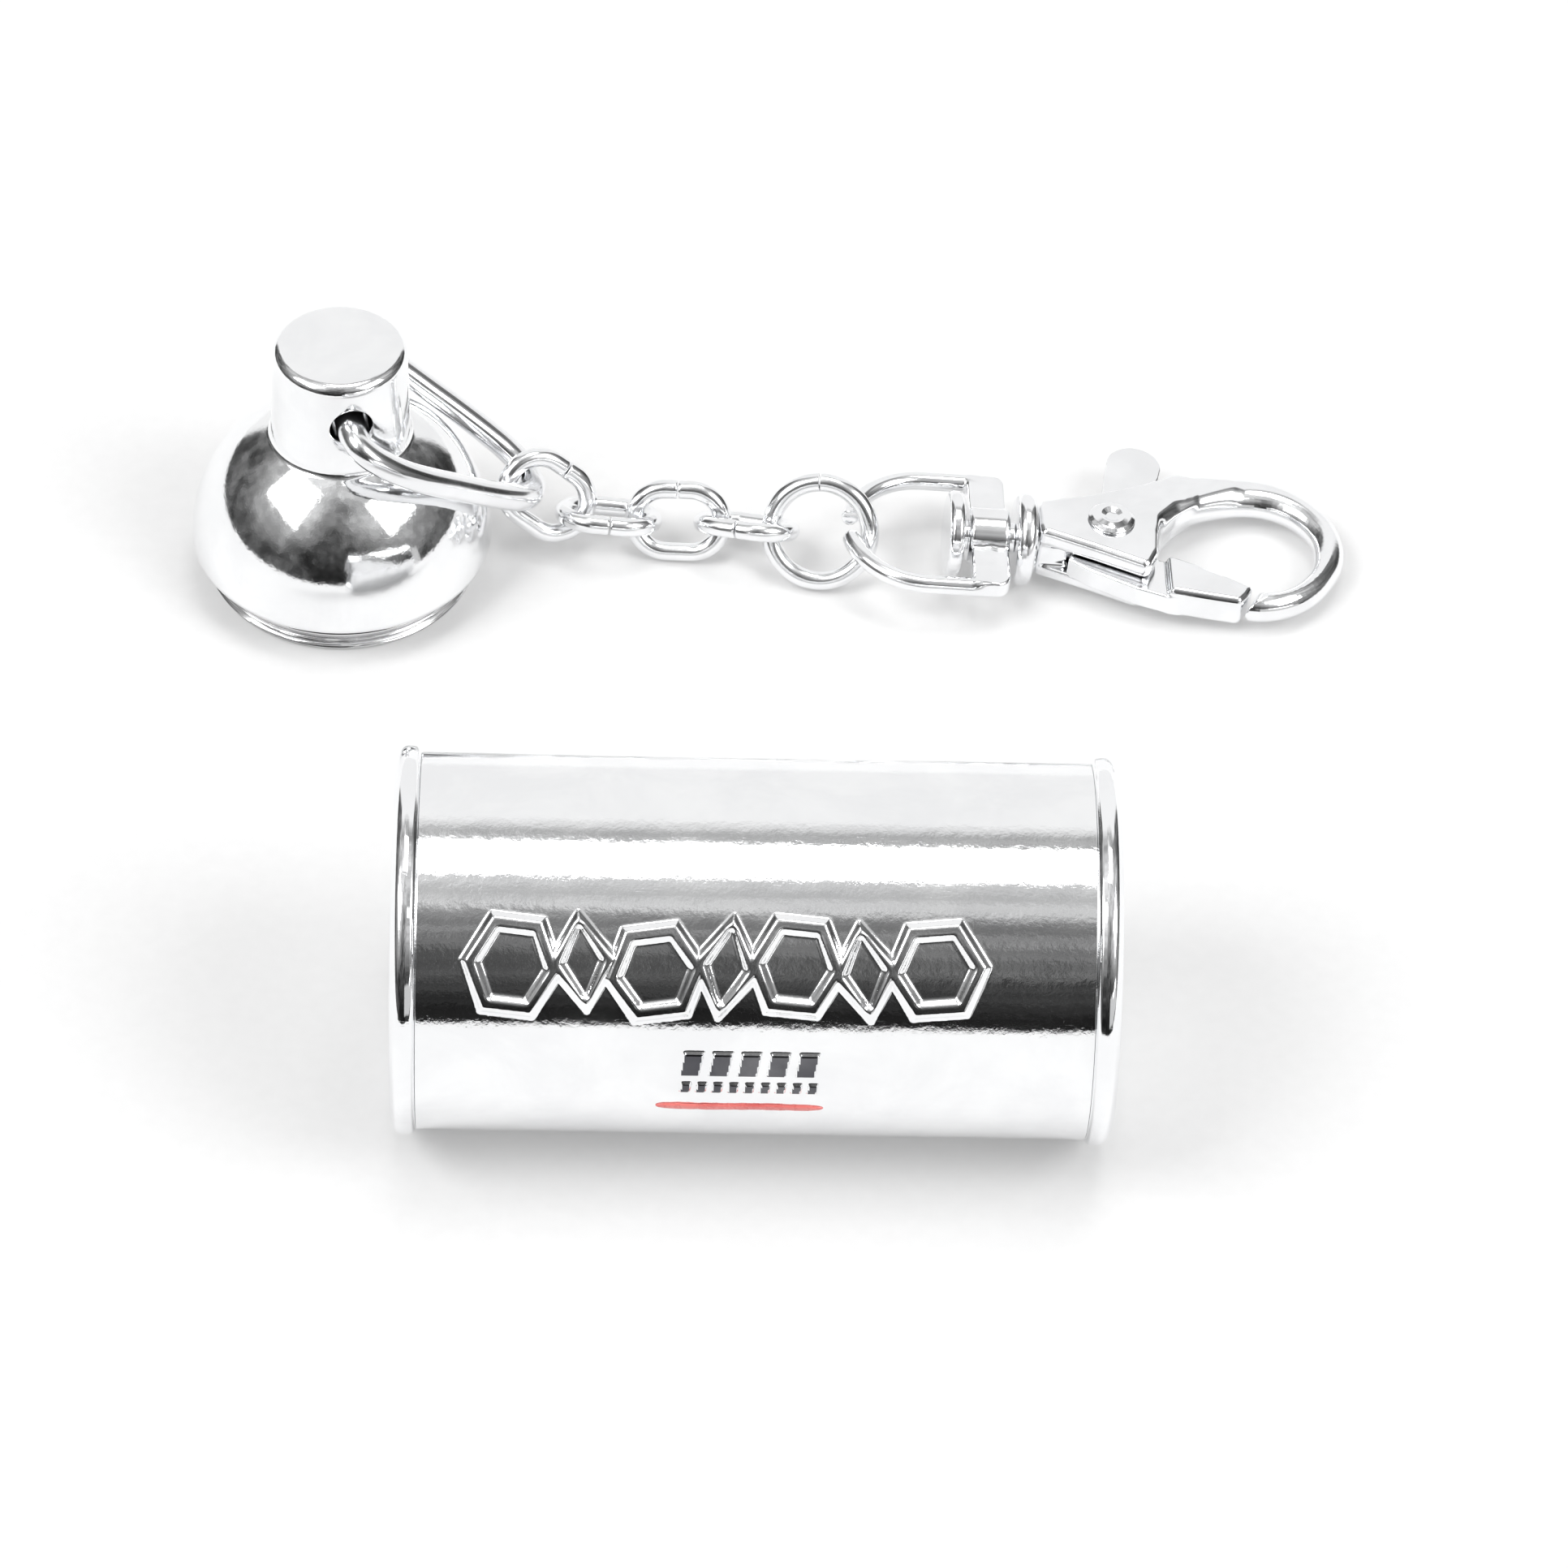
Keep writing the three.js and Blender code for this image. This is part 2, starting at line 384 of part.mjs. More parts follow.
  place(clasp, 'gate_rivet', finished(alongZ(lathe([
    [0, CHEEK_LOW + 0.04], [RIVET_R, CHEEK_LOW + 0.04], [RIVET_R, CHEEK_TOP + 0.03], [1.65, CHEEK_TOP + 0.03], [1.6, CHEEK_TOP + 0.2],
    [1.3, CHEEK_TOP + 0.42], [0.75, CHEEK_TOP + 0.55], [0.45, CHEEK_TOP + 0.36], [0, CHEEK_TOP + 0.28],
  ], 18)).translate(PIVOT[0], PIVOT[1], 0)));
}

export default root;
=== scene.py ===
import json
import math

import bmesh
import bpy
import numpy as np
from mathutils import Matrix, Vector


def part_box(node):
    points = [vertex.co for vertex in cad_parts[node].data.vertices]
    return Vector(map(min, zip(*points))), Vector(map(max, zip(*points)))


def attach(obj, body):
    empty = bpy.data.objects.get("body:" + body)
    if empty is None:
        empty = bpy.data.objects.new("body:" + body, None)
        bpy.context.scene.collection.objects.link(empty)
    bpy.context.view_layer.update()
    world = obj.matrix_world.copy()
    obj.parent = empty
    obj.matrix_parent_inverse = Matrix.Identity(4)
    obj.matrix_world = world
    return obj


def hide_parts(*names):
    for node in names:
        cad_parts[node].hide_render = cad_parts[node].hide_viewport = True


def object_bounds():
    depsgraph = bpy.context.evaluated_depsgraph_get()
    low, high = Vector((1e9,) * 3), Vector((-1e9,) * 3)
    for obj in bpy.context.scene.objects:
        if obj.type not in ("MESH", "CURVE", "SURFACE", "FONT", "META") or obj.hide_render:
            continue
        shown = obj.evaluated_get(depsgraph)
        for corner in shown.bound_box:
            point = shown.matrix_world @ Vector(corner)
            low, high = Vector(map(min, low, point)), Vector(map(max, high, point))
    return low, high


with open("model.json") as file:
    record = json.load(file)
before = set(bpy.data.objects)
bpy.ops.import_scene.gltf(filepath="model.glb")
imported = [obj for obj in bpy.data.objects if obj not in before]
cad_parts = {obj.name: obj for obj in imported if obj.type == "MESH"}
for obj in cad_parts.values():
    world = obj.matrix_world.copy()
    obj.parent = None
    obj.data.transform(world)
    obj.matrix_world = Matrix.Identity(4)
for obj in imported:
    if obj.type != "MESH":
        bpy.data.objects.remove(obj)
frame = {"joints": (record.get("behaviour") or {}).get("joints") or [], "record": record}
CAD_LO, CAD_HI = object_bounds()
JOINTS = {j["name"]: j for j in frame["joints"]}
MOUNTS = {m["name"]: m for m in frame["record"]["mounts"]}
rad = math.radians

# ---------------------------------------------------------------- camera first
# Target and distances are in the row frame, in metres.
CAM_TARGET = Vector((0.001608, 0.00448, 0.0))
CAM_EL, CAM_ROLL, CAM_DIST = rad(43.974), rad(2.263), 0.551
CAM_LENS = 36.0 * 10056.0 / 1932.0
cam_data = bpy.data.cameras.new("camera")
cam = bpy.data.objects.new("camera", cam_data)
bpy.context.scene.collection.objects.link(cam)
cam_data.lens, cam_data.sensor_width = CAM_LENS, 36.0
cam_data.clip_start, cam_data.clip_end = 0.01, 10.0
back = Vector((0.0, -math.cos(CAM_EL), math.sin(CAM_EL)))
right0, up0 = Vector((1, 0, 0)), Vector((0, math.sin(CAM_EL), math.cos(CAM_EL)))
cr, sr = math.cos(CAM_ROLL), math.sin(CAM_ROLL)
cx, cy = right0 * cr + up0 * sr, up0 * cr - right0 * sr
rot = Matrix((cx, cy, back)).transposed()
cam.matrix_world = Matrix.Translation(CAM_TARGET + back * CAM_DIST) @ rot.to_4x4()
bpy.context.scene.camera = cam
bpy.context.scene.view_settings.view_transform = "Standard"
bpy.context.scene.view_settings.look = "None"

# ---------------------------------------------------------------- local frames of the pieces (mm -> row frame, m)
def basis(origin, x, y, z):
    m = np.eye(4)
    m[:3, 0], m[:3, 1], m[:3, 2], m[:3, 3] = x, y, z, origin
    return m


def unit(v):
    v = np.asarray(v, float)
    return v / np.linalg.norm(v)


def centre(node):
    lo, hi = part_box(node)
    return np.array((lo + hi) / 2)


UP = np.array([0.0, 0.0, 1.0])
can_x = unit(MOUNTS["can_base"]["axis"])
CAN = basis(centre("can_tube"), can_x, np.cross(UP, can_x), UP)
cap_at = np.array([MOUNTS["nozzle_top"]["pos_m"][0], MOUNTS["nozzle_top"]["pos_m"][1], 0.0])
hole_axis = unit(JOINTS["bail_swing"]["axis"])
CAP = basis(cap_at, np.cross(UP, hole_axis) * -1.0, hole_axis * -1.0, UP)
if np.linalg.det(CAP[:3, :3]) < 0:
    CAP[:3, 0] *= -1
bail_at = np.array(JOINTS["bail_swing"]["pos_m"])
bail_x = unit(np.array(JOINTS["link_1_swing"]["pos_m"]) - bail_at)
bail_y = -hole_axis
BAIL = basis(bail_at, bail_x, bail_y, np.cross(bail_x, bail_y))


def link_frame(node, joint):
    c = centre(node)
    e1 = unit(np.array(JOINTS[joint]["pos_m"]) - c)
    e2 = -unit(JOINTS[joint]["axis"])
    e2 = unit(e2 - e1 * (e1 @ e2))
    return basis(c, e1, e2, np.cross(e1, e2))


LINKS = [link_frame(n, j) for n, j in (
    ("chain_link_1", "link_2_swing"), ("chain_link_2", "link_3_swing"), ("chain_link_3", "link_4_swing"),
    ("chain_link_4", "ring_swing"), ("chain_ring", "eye_swing"))]
cl_u = unit(JOINTS["clasp_swivel"]["axis"])
cl_w = unit(JOINTS["gate_open"]["axis"])
cl_w = unit(cl_w - cl_u * (cl_u @ cl_w))
cl_v = np.cross(cl_w, cl_u)
CLASP = basis(np.array(JOINTS["clasp_swivel"]["pos_m"]) - cl_u * 0.0074, cl_u, cl_v, cl_w)

# ---------------------------------------------------------------- mesh helpers (millimetres, local)
def add_object(name, verts, faces, where, body, nodes, mats, normals=None, sharp=32.0, mat_index=None, flip=None):
    v = np.asarray(verts, float)
    f = [list(x) for x in faces]
    if flip is None:
        # outward winding from the signed volume
        vol = 0.0
        fa = np.array([x[:3] for x in f])
        vol += np.einsum("ij,ij->i", v[fa[:, 0]], np.cross(v[fa[:, 1]], v[fa[:, 2]])).sum()
        quads = np.array([x for x in f if len(x) == 4]) if any(len(x) == 4 for x in f) else None
        if quads is not None:
            vol += np.einsum("ij,ij->i", v[quads[:, 0]], np.cross(v[quads[:, 2]], v[quads[:, 3]])).sum()
        flip = vol < 0
    if flip:
        f = [x[::-1] for x in f]
    # the turn is baked into the vertices, so that the piece's own box is its true box; the object keeps only its place
    turn, place = where[:3, :3], where[:3, 3]
    v = v @ turn.T
    if normals is not None:
        normals = np.asarray(normals, float) @ turn.T
    mesh = bpy.data.meshes.new(name)
    mesh.from_pydata((v * 0.001).tolist(), [], f)
    mesh.validate()
    mesh.update()
    for m in mats:
        mesh.materials.append(m)
    if mat_index is not None:
        mesh.polygons.foreach_set("material_index", np.asarray(mat_index, np.int32))
    mesh.polygons.foreach_set("use_smooth", np.ones(len(mesh.polygons), bool))
    if normals is not None:
        mesh.normals_split_custom_set_from_vertices(np.asarray(normals, float).tolist())
    else:
        mesh.set_sharp_from_angle(angle=rad(sharp))
    o = bpy.data.objects.new(name, mesh)
    bpy.context.scene.collection.objects.link(o)
    o.location = Vector(place.tolist())
    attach(o, body)
    if nodes:
        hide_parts(*nodes)
    return o


def grid_faces(n, m, close_n, close_m):
    i = np.arange(n if close_n else n - 1)
    j = np.arange(m if close_m else m - 1)
    a, b = np.meshgrid(i, j, indexing="ij")
    a2, b2 = (a + 1) % n, (b + 1) % m
    return np.stack([a * m + b, a2 * m + b, a2 * m + b2, a * m + b2], -1).reshape(-1, 4)


def fillet(points, seg=7, closed=False, support=0.025):
    """(x, y[, r]) corners to a polyline with round corners and support points beside each straight run."""
    pts = [tuple(p) + (0.0,) * (3 - len(p)) for p in points]
    n = len(pts)
    out = []
    for i, (x, y, r) in enumerate(pts):
        p = np.array([x, y])
        if not closed and (i == 0 or i == n - 1):
            out.append(("c", p))
            continue
        a, b = np.array(pts[i - 1][:2]), np.array(pts[(i + 1) % n][:2])
        da, db = unit(a - p), unit(b - p)
        ang = math.acos(max(-1, min(1, float(da @ db))))
        if r <= 0 or ang > math.pi - 0.02:
            out.append(("c", p))
            continue
        t = r / math.tan(ang / 2)
        t = min(t, 0.49 * np.linalg.norm(a - p), 0.49 * np.linalg.norm(b - p))
        rr = t * math.tan(ang / 2)
        c = p + unit(da + db) * (rr / math.sin(ang / 2))
        s, e = p + da * t, p + db * t
        a0, a1 = math.atan2(*(s - c)[::-1]), math.atan2(*(e - c)[::-1])
        d = (a1 - a0 + math.pi) % (2 * math.pi) - math.pi
        k = max(2, int(math.ceil(seg * abs(d) / (math.pi / 2))))
        arc = [c + rr * np.array([math.cos(a0 + d * q / k), math.sin(a0 + d * q / k)]) for q in range(k + 1)]
        out.append(("a", arc))
    flat = []
    ends = []
    for kind, val in out:
        if kind == "c":
            ends.append((val, val))
        else:
            ends.append((val[0], val[-1]))
    m = len(out)
    for i, (kind, val) in enumerate(out):
        flat.extend([val] if kind == "c" else val)
        if i == m - 1 and not closed:
            break
        s, e = ends[i][1], ends[(i + 1) % m][0]
        L = np.linalg.norm(e - s)
        if L > 4 * support:
            d = (e - s) / L
            if kind == "a":
                flat.append(s + d * support)
            if out[(i + 1) % m][0] == "a":
                flat.append(e - d * support)
    return np.array(flat)


def arc_pts(cx_, cy_, r, a0, a1, n):
    t = np.radians(np.linspace(a0, a1, n + 1))
    return [(cx_ + r * math.cos(q), cy_ + r * math.sin(q)) for q in t]


def lathe(profile, seg, axis="x", closed=False, angles=None, offset=None):
    """profile rows (r, a); poles where r is 0. offset(row, a, angle) is added to the radius."""
    prof = np.asarray(profile, float)
    th = np.linspace(0, 2 * math.pi, seg, endpoint=False) if angles is None else np.asarray(angles)
    m = len(th)
    first_pole, last_pole = prof[0, 0] < 1e-9 and not closed, prof[-1, 0] < 1e-9 and not closed
    body = prof[(1 if first_pole else 0):(len(prof) - 1 if last_pole else len(prof))]
    r = np.repeat(body[:, 0][:, None], m, 1)
    if offset is not None:
        r = r + offset(body[:, 0][:, None], body[:, 1][:, None], th[None, :])
    a = np.repeat(body[:, 1][:, None], m, 1)
    if axis == "x":
        v = np.stack([a, r * np.cos(th), r * np.sin(th)], -1)
    else:
        v = np.stack([r * np.cos(th), r * np.sin(th), a], -1)
    n = len(body)
    v = v.reshape(-1, 3)
    f = grid_faces(n, m, closed, True).tolist()
    row_of = np.repeat(np.arange(n if closed else n - 1), m).tolist()

    def pole(val):
        return [val, 0, 0] if axis == "x" else [0, 0, val]
    if first_pole:
        v = np.vstack([v, pole(prof[0, 1])])
        k = len(v) - 1
        f += [[k, j, (j + 1) % m] for j in range(m)]
        row_of += [0] * m
    if last_pole:
        v = np.vstack([v, pole(prof[-1, 1])])
        k, base = len(v) - 1, (n - 1) * m
        f += [[k, base + (j + 1) % m, base + j] for j in range(m)]
        row_of += [n - 1] * m
    return v, f, np.array(row_of)


def spline(points, per=12):
    """Centripetal Catmull-Rom through 2-D or 3-D points."""
    p = [np.asarray(q, float) for q in points]
    out = []
    n = len(p)
    for i in range(n - 1):
        p1, p2 = p[i], p[i + 1]
        p0 = p[i - 1] if i > 0 else 2 * p1 - p2
        p3 = p[i + 2] if i + 2 < n else 2 * p2 - p1
        d = [max(np.linalg.norm(b - a), 1e-6) ** 0.5 for a, b in ((p0, p1), (p1, p2), (p2, p3))]
        t0, t1 = 0.0, d[0]
        t2, t3 = d[0] + d[1], d[0] + d[1] + d[2]
        for q in range(per):
            t = t1 + (t2 - t1) * q / per
            A1 = (t1 - t) / (t1 - t0) * p0 + (t - t0) / (t1 - t0) * p1
            A2 = (t2 - t) / (t2 - t1) * p1 + (t - t1) / (t2 - t1) * p2
            A3 = (t3 - t) / (t3 - t2) * p2 + (t - t2) / (t3 - t2) * p3
            B1 = (t2 - t) / (t2 - t0) * A1 + (t - t0) / (t2 - t0) * A2
            B2 = (t3 - t) / (t3 - t1) * A2 + (t - t1) / (t3 - t1) * A3
            out.append((t2 - t) / (t2 - t1) * B1 + (t - t1) / (t2 - t1) * B2)
    out.append(p[-1])
    return np.array(out)


def resample(path, step):
    d = np.r_[0, np.cumsum(np.linalg.norm(np.diff(path, axis=0), axis=1))]
    n = max(4, int(round(d[-1] / step)))
    s = np.linspace(0, d[-1], n + 1)
    return np.stack([np.interp(s, d, path[:, k]) for k in range(path.shape[1])], -1), s


def sweep_planar(path, section, ends=0.12, n_end=5):
    """Sweeps a closed section (in-plane normal offset, out-of-plane offset) along a path in the local xy plane.
    section(s, total) gives the points; round ends of radius ends."""
    pts, s = path
    tan = np.gradient(pts, axis=0)
    tan /= np.linalg.norm(tan, axis=1)[:, None]
    nor = np.stack([-tan[:, 1], tan[:, 0]], -1)
    total = s[-1]
    rows = []

    def row(i, pos, shrink):
        sec = section(s[i], total)
        k = (np.linalg.norm(sec, axis=1) - shrink) / np.linalg.norm(sec, axis=1)
        sec = sec * k[:, None]
        p = np.zeros((len(sec), 3))
        p[:, :2] = pos[None, :] + sec[:, :1] * nor[i][None, :]
        p[:, 2] = sec[:, 1]
        return p
    for q in range(n_end):
        a = (math.pi / 2) * (1 - q / n_end)
        rows.append(row(0, pts[0] + tan[0] * (ends - ends * math.sin(a)), ends * (1 - math.cos(a))))
    keep = [i for i in range(len(pts)) if ends < s[i] < total - ends]
    for i in keep:
        rows.append(row(i, pts[i], 0.0))
    for q in range(n_end):
        a = (math.pi / 2) * ((q + 1) / n_end)
        rows.append(row(len(pts) - 1, pts[-1] - tan[-1] * (ends - ends * math.sin(a)), ends * (1 - math.cos(a))))
    m = len(rows[0])
    v = np.vstack(rows)
    f = grid_faces(len(rows), m, False, True).tolist()
    v = np.vstack([v, rows[0].mean(0), rows[-1].mean(0)])
    k0, k1, base = len(v) - 2, len(v) - 1, (len(rows) - 1) * m
    f += [[k0, (j + 1) % m, j] for j in range(m)]
    f += [[k1, base + j, base + (j + 1) % m] for j in range(m)]
    # consistent winding: caps follow the side faces
    f = [list(x) for x in f]
    for t in range(len(f) - 2 * m, len(f)):
        f[t] = f[t][::-1]
    return v, f


# ---------------------------------------------------------------- distance-field castings
def poly_sd(u, v, poly):
    """Signed distance to a closed outline; u and v broadcast together."""
    u, v = np.broadcast_arrays(np.asarray(u, float), np.asarray(v, float))
    best = np.full(u.shape, 1e9)
    inside = np.zeros(u.shape, bool)
    P = np.asarray(poly, float)
    Q = np.roll(P, -1, axis=0)
    for (ax, ay), (bx, by) in zip(P, Q):
        ex, ey = bx - ax, by - ay
        L = ex * ex + ey * ey
        if L < 1e-12:
            continue
        wx, wy = u - ax, v - ay
        t = np.clip((wx * ex + wy * ey) / L, 0, 1)
        dx, dy = wx - t * ex, wy - t * ey
        best = np.minimum(best, dx * dx + dy * dy)
        cross = ((ay > v) != (by > v)) & (u < ex * (v - ay) / (by - ay if by != ay else 1e-12) + ax)
        inside ^= cross
    best = np.sqrt(best)
    return np.where(inside, -best, best)


def line_d(u, v, line):
    """Distance to an open line."""
    u, v = np.broadcast_arrays(np.asarray(u, float), np.asarray(v, float))
    best = np.full(u.shape, 1e9)
    for (ax, ay), (bx, by) in zip(line[:-1], line[1:]):
        ex, ey = bx - ax, by - ay
        L = ex * ex + ey * ey
        if L < 1e-12:
            continue
        wx, wy = u - ax, v - ay
        t = np.clip((wx * ex + wy * ey) / L, 0, 1)
        best = np.minimum(best, (wx - t * ex) ** 2 + (wy - t * ey) ** 2)
    return np.sqrt(best)


def slab(d2, w, w0, w1, r):
    a = d2 + r
    b = np.abs(w - (w0 + w1) / 2) - ((w1 - w0) / 2 - r)
    return np.minimum(np.maximum(a, b), 0) + np.hypot(np.maximum(a, 0), np.maximum(b, 0)) - r


def rod(d2, w, half, thick):
    """A bar of oval section inside an outline: half is the outline's half width, thick the rise at its middle."""
    return (np.hypot(np.maximum(d2 + half, 0) / half, w / thick) - 1) * thick


def smin(a, b, k):
    h = np.clip(0.5 + 0.5 * (b - a) / k, 0, 1)
    return b * (1 - h) + a * h - k * h * (1 - h)


def smax(a, b, k):
    return -smin(-a, -b, k)


def cast(field, lo, hi, h):
    """Surface nets on a grid, then every vertex moved onto the surface; returns vertices, quads, normals."""
    ax = [np.arange(lo[i], hi[i] + h, h) for i in range(3)]
    u, v, w = ax[0][:, None, None], ax[1][None, :, None], ax[2][None, None, :]
    F = np.broadcast_to(field(u, v, w), (len(ax[0]), len(ax[1]), len(ax[2]))).astype(np.float64)
    S = F < 0
    cnt = np.zeros(tuple(n - 1 for n in F.shape), np.int8)
    corners = [(i, j, k) for i in (0, 1) for j in (0, 1) for k in (0, 1)]

    def sub(A, c):
        return A[c[0]:A.shape[0] - 1 + c[0], c[1]:A.shape[1] - 1 + c[1], c[2]:A.shape[2] - 1 + c[2]]
    for c in corners:
        cnt += sub(S, c)
    mixed = (cnt > 0) & (cnt < 8)
    cells = np.argwhere(mixed)
    idx = -np.ones(mixed.shape, np.int64)
    idx[mixed] = np.arange(len(cells))
    vals = {c: sub(F, c)[mixed] for c in corners}
    acc, num = np.zeros((len(cells), 3)), np.zeros(len(cells))
    for c in corners:
        for axis in range(3):
            if c[axis] == 1:
                continue
            d = list(c)
            d[axis] = 1
            fa, fb = vals[c], vals[tuple(d)]
            x = (fa < 0) != (fb < 0)
            t = np.where(x, fa / np.where(x, fa - fb, 1.0), 0)
            pos = np.tile(np.array(c, float), (len(cells), 1))
            pos[:, axis] = t
            acc[x] += pos[x]
            num[x] += 1
    p = np.array(lo)[None, :] + h * (cells + acc / num[:, None])
    faces = []
    for axis in range(3):
        o1, o2 = (axis + 1) % 3, (axis + 2) % 3
        sl = [slice(None)] * 3
        s0, s1 = list(sl), list(sl)
        s0[axis], s1[axis] = slice(0, -1), slice(1, None)
        change = S[tuple(s0)] != S[tuple(s1)]
        e = np.argwhere(change)
        e = e[(e[:, o1] > 0) & (e[:, o2] > 0) & (e[:, o1] < F.shape[o1] - 1) & (e[:, o2] < F.shape[o2] - 1)]
        first_in = S[e[:, 0], e[:, 1], e[:, 2]]
        ring = []
        for (a, b) in ((-1, -1), (0, -1), (0, 0), (-1, 0)):
            q = e.copy()
            q[:, o1] += a
            q[:, o2] += b
            ring.append(idx[q[:, 0], q[:, 1], q[:, 2]])
        quad = np.stack(ring, -1)
        quad[~first_in] = quad[~first_in][:, ::-1]
        faces.append(quad)
    f = np.vstack(faces)

    def grad(q, e=0.015):
        g = np.zeros_like(q)
        for k in range(3):
            d = np.zeros(3)
            d[k] = e
            a, b = q + d, q - d
            g[:, k] = (field(a[:, 0], a[:, 1], a[:, 2]) - field(b[:, 0], b[:, 1], b[:, 2])) / (2 * e)
        return g
    for _ in range(4):
        val = field(p[:, 0], p[:, 1], p[:, 2])
        g = grad(p)
        gg = np.maximum((g * g).sum(1), 0.25)
        stepv = (val / gg)[:, None] * g
        n = np.linalg.norm(stepv, axis=1)
        stepv *= np.minimum(1, 0.5 * h / np.maximum(n, 1e-9))[:, None]
        p = p - stepv
    g = grad(p, 0.03)
    g /= np.maximum(np.linalg.norm(g, axis=1), 1e-9)[:, None]
    return p, f, g


# ---------------------------------------------------------------- node helpers
class Nodes:
    def __init__(self, tree):
        self.t = tree
        tree.nodes.clear()

    def add(self, kind, **props):
        n = self.t.nodes.new(kind)
        for k, v in props.items():
            setattr(n, k, v)
        return n

    def put(self, sock, val):
        if isinstance(val, bpy.types.NodeSocket):
            self.t.links.new(val, sock)
        else:
            sock.default_value = val

    def math(self, op, a, b=None, c=None, clamp=False):
        n = self.add("ShaderNodeMath", operation=op, use_clamp=clamp)
        for s, val in zip(n.inputs, (a, b, c)):
            if val is not None:
                self.put(s, val)
        return n.outputs[0]

    def dot(self, a, vec):
        n = self.add("ShaderNodeVectorMath", operation="DOT_PRODUCT")
        self.put(n.inputs[0], a)
        n.inputs[1].default_value = tuple(vec)
        return n.outputs["Value"]

    def ramp(self, x, lo, hi, a=0.0, b=1.0):
        n = self.add("ShaderNodeMapRange", interpolation_type="SMOOTHSTEP")
        self.put(n.inputs["Value"], x)
        for name, val in (("From Min", lo), ("From Max", hi), ("To Min", a), ("To Max", b)):
            self.put(n.inputs[name], val)
        return n.outputs["Result"]

    def noise(self, vec, scale, detail=3.0, rough=0.5, dist=0.0):
        n = self.add("ShaderNodeTexNoise")
        self.put(n.inputs["Vector"], vec)
        n.inputs["Scale"].default_value = scale
        n.inputs["Detail"].default_value = detail
        n.inputs["Roughness"].default_value = rough
        n.inputs["Distortion"].default_value = dist
        return n.outputs["Fac"] if "Fac" in n.outputs else n.outputs[0]

    def scaled(self, vec, s):
        n = self.add("ShaderNodeMapping")
        self.put(n.inputs["Vector"], vec)
        n.inputs["Scale"].default_value = s
        return n.outputs[0]

    def mixcol(self, fac, a, b):
        n = self.add("ShaderNodeMix", data_type="RGBA")
        self.put(n.inputs[0], fac)
        ins = [s for s in n.inputs if s.type == "RGBA"]
        self.put(ins[0], a)
        self.put(ins[1], b)
        return [s for s in n.outputs if s.type == "RGBA"][0]

    def bump(self, height, strength, distance, normal=None):
        n = self.add("ShaderNodeBump")
        n.inputs["Strength"].default_value = strength
        n.inputs["Distance"].default_value = distance
        self.put(n.inputs["Height"], height)
        if normal is not None:
            self.put(n.inputs["Normal"], normal)
        return n.outputs[0]


def chrome(name, light, dark, rough0, rough1, peel, peel_scale, scratch=0.25, grain=0.0, stretch=(1, 1, 1)):
    """Plated metal: patchy reflectance and roughness, orange peel, hairline scratches."""
    m = bpy.data.materials.new(name)
    m.use_nodes = True
    N = Nodes(m.node_tree)
    out = N.add("ShaderNodeOutputMaterial")
    bsdf = N.add("ShaderNodeBsdfPrincipled")
    N.t.links.new(bsdf.outputs[0], out.inputs[0])
    bsdf.inputs["Metallic"].default_value = 1.0
    co = N.add("ShaderNodeTexCoord").outputs["Object"]
    big = N.noise(co, 160.0, 4.0, 0.6, 0.4)
    mid = N.noise(N.scaled(co, stretch), peel_scale * 0.35, 3.0, 0.55)
    fine = N.noise(N.scaled(co, stretch), peel_scale, 4.0, 0.6)
    hair = N.noise(N.scaled(co, (0.05, 1.0, 1.0)), 5200.0, 2.0, 0.5, 1.5)
    hair2 = N.noise(N.scaled(co, (1.0, 0.07, 0.6)), 4300.0, 2.0, 0.5, 2.0)
    hairs = N.ramp(N.math("MAXIMUM", hair, hair2), 0.63, 0.72)
    tone = N.ramp(big, 0.32, 0.68)
    N.put(bsdf.inputs["Base Color"], N.mixcol(tone, (*dark, 1), (*light, 1)))
    r = N.math("ADD", N.ramp(big, 0.3, 0.7, rough0, rough1), N.math("MULTIPLY", hairs, scratch * 0.12))
    if grain:
        r = N.math("ADD", r, N.math("MULTIPLY", N.noise(N.scaled(co, stretch), 3600.0, 2.0), grain))
    N.put(bsdf.inputs["Roughness"], r)
    b1 = N.bump(mid, 1.0, peel * 2.2)
    b2 = N.bump(fine, 1.0, peel, b1)
    b3 = N.bump(hairs, scratch, 0.0000015, b2)
    N.put(bsdf.inputs["Normal"], b3)
    return m


MAT_CHROME = chrome("chrome", (0.95, 0.955, 0.965), (0.90, 0.905, 0.915), 0.03, 0.075, 1.6e-6, 1500.0)
MAT_PEEL = chrome("chrome_orange_peel", (0.95, 0.955, 0.96), (0.89, 0.895, 0.905), 0.04, 0.085, 5.2e-6, 3900.0)
MAT_DOME = chrome("chrome_orange_peel_dome", (0.95, 0.955, 0.96), (0.89, 0.895, 0.905), 0.05, 0.1, 4.2e-6, 3200.0)
# a dark, rougher chrome for the raised faces of the bars on the tube
MAT_MARK = chrome("mark_faces_dark", (0.17, 0.17, 0.18), (0.09, 0.09, 0.1), 0.12, 0.22, 2.4e-6, 4200.0)
MAT_INSIDE = chrome("chrome_inside", (0.62, 0.62, 0.61), (0.45, 0.45, 0.44), 0.28, 0.42, 4.0e-6, 1700.0, grain=0.12)
MAT_WIRE = chrome("wire", (0.94, 0.945, 0.955), (0.86, 0.865, 0.875), 0.11, 0.19, 1.8e-6, 1300.0, scratch=0.35)
MAT_CAST = chrome("chrome_cast", (0.95, 0.955, 0.965), (0.88, 0.885, 0.895), 0.08, 0.15, 2.0e-6, 1500.0)
# the thread plug's chrome gets a darker grey base colour: painted shade for the shadowed plug close to the floor
MAT_THREAD_PAINTED_SHADE = chrome("chrome_thread_painted_shade", (0.74, 0.74, 0.745), (0.58, 0.58, 0.585), 0.12, 0.24, 2.4e-6, 2100.0)
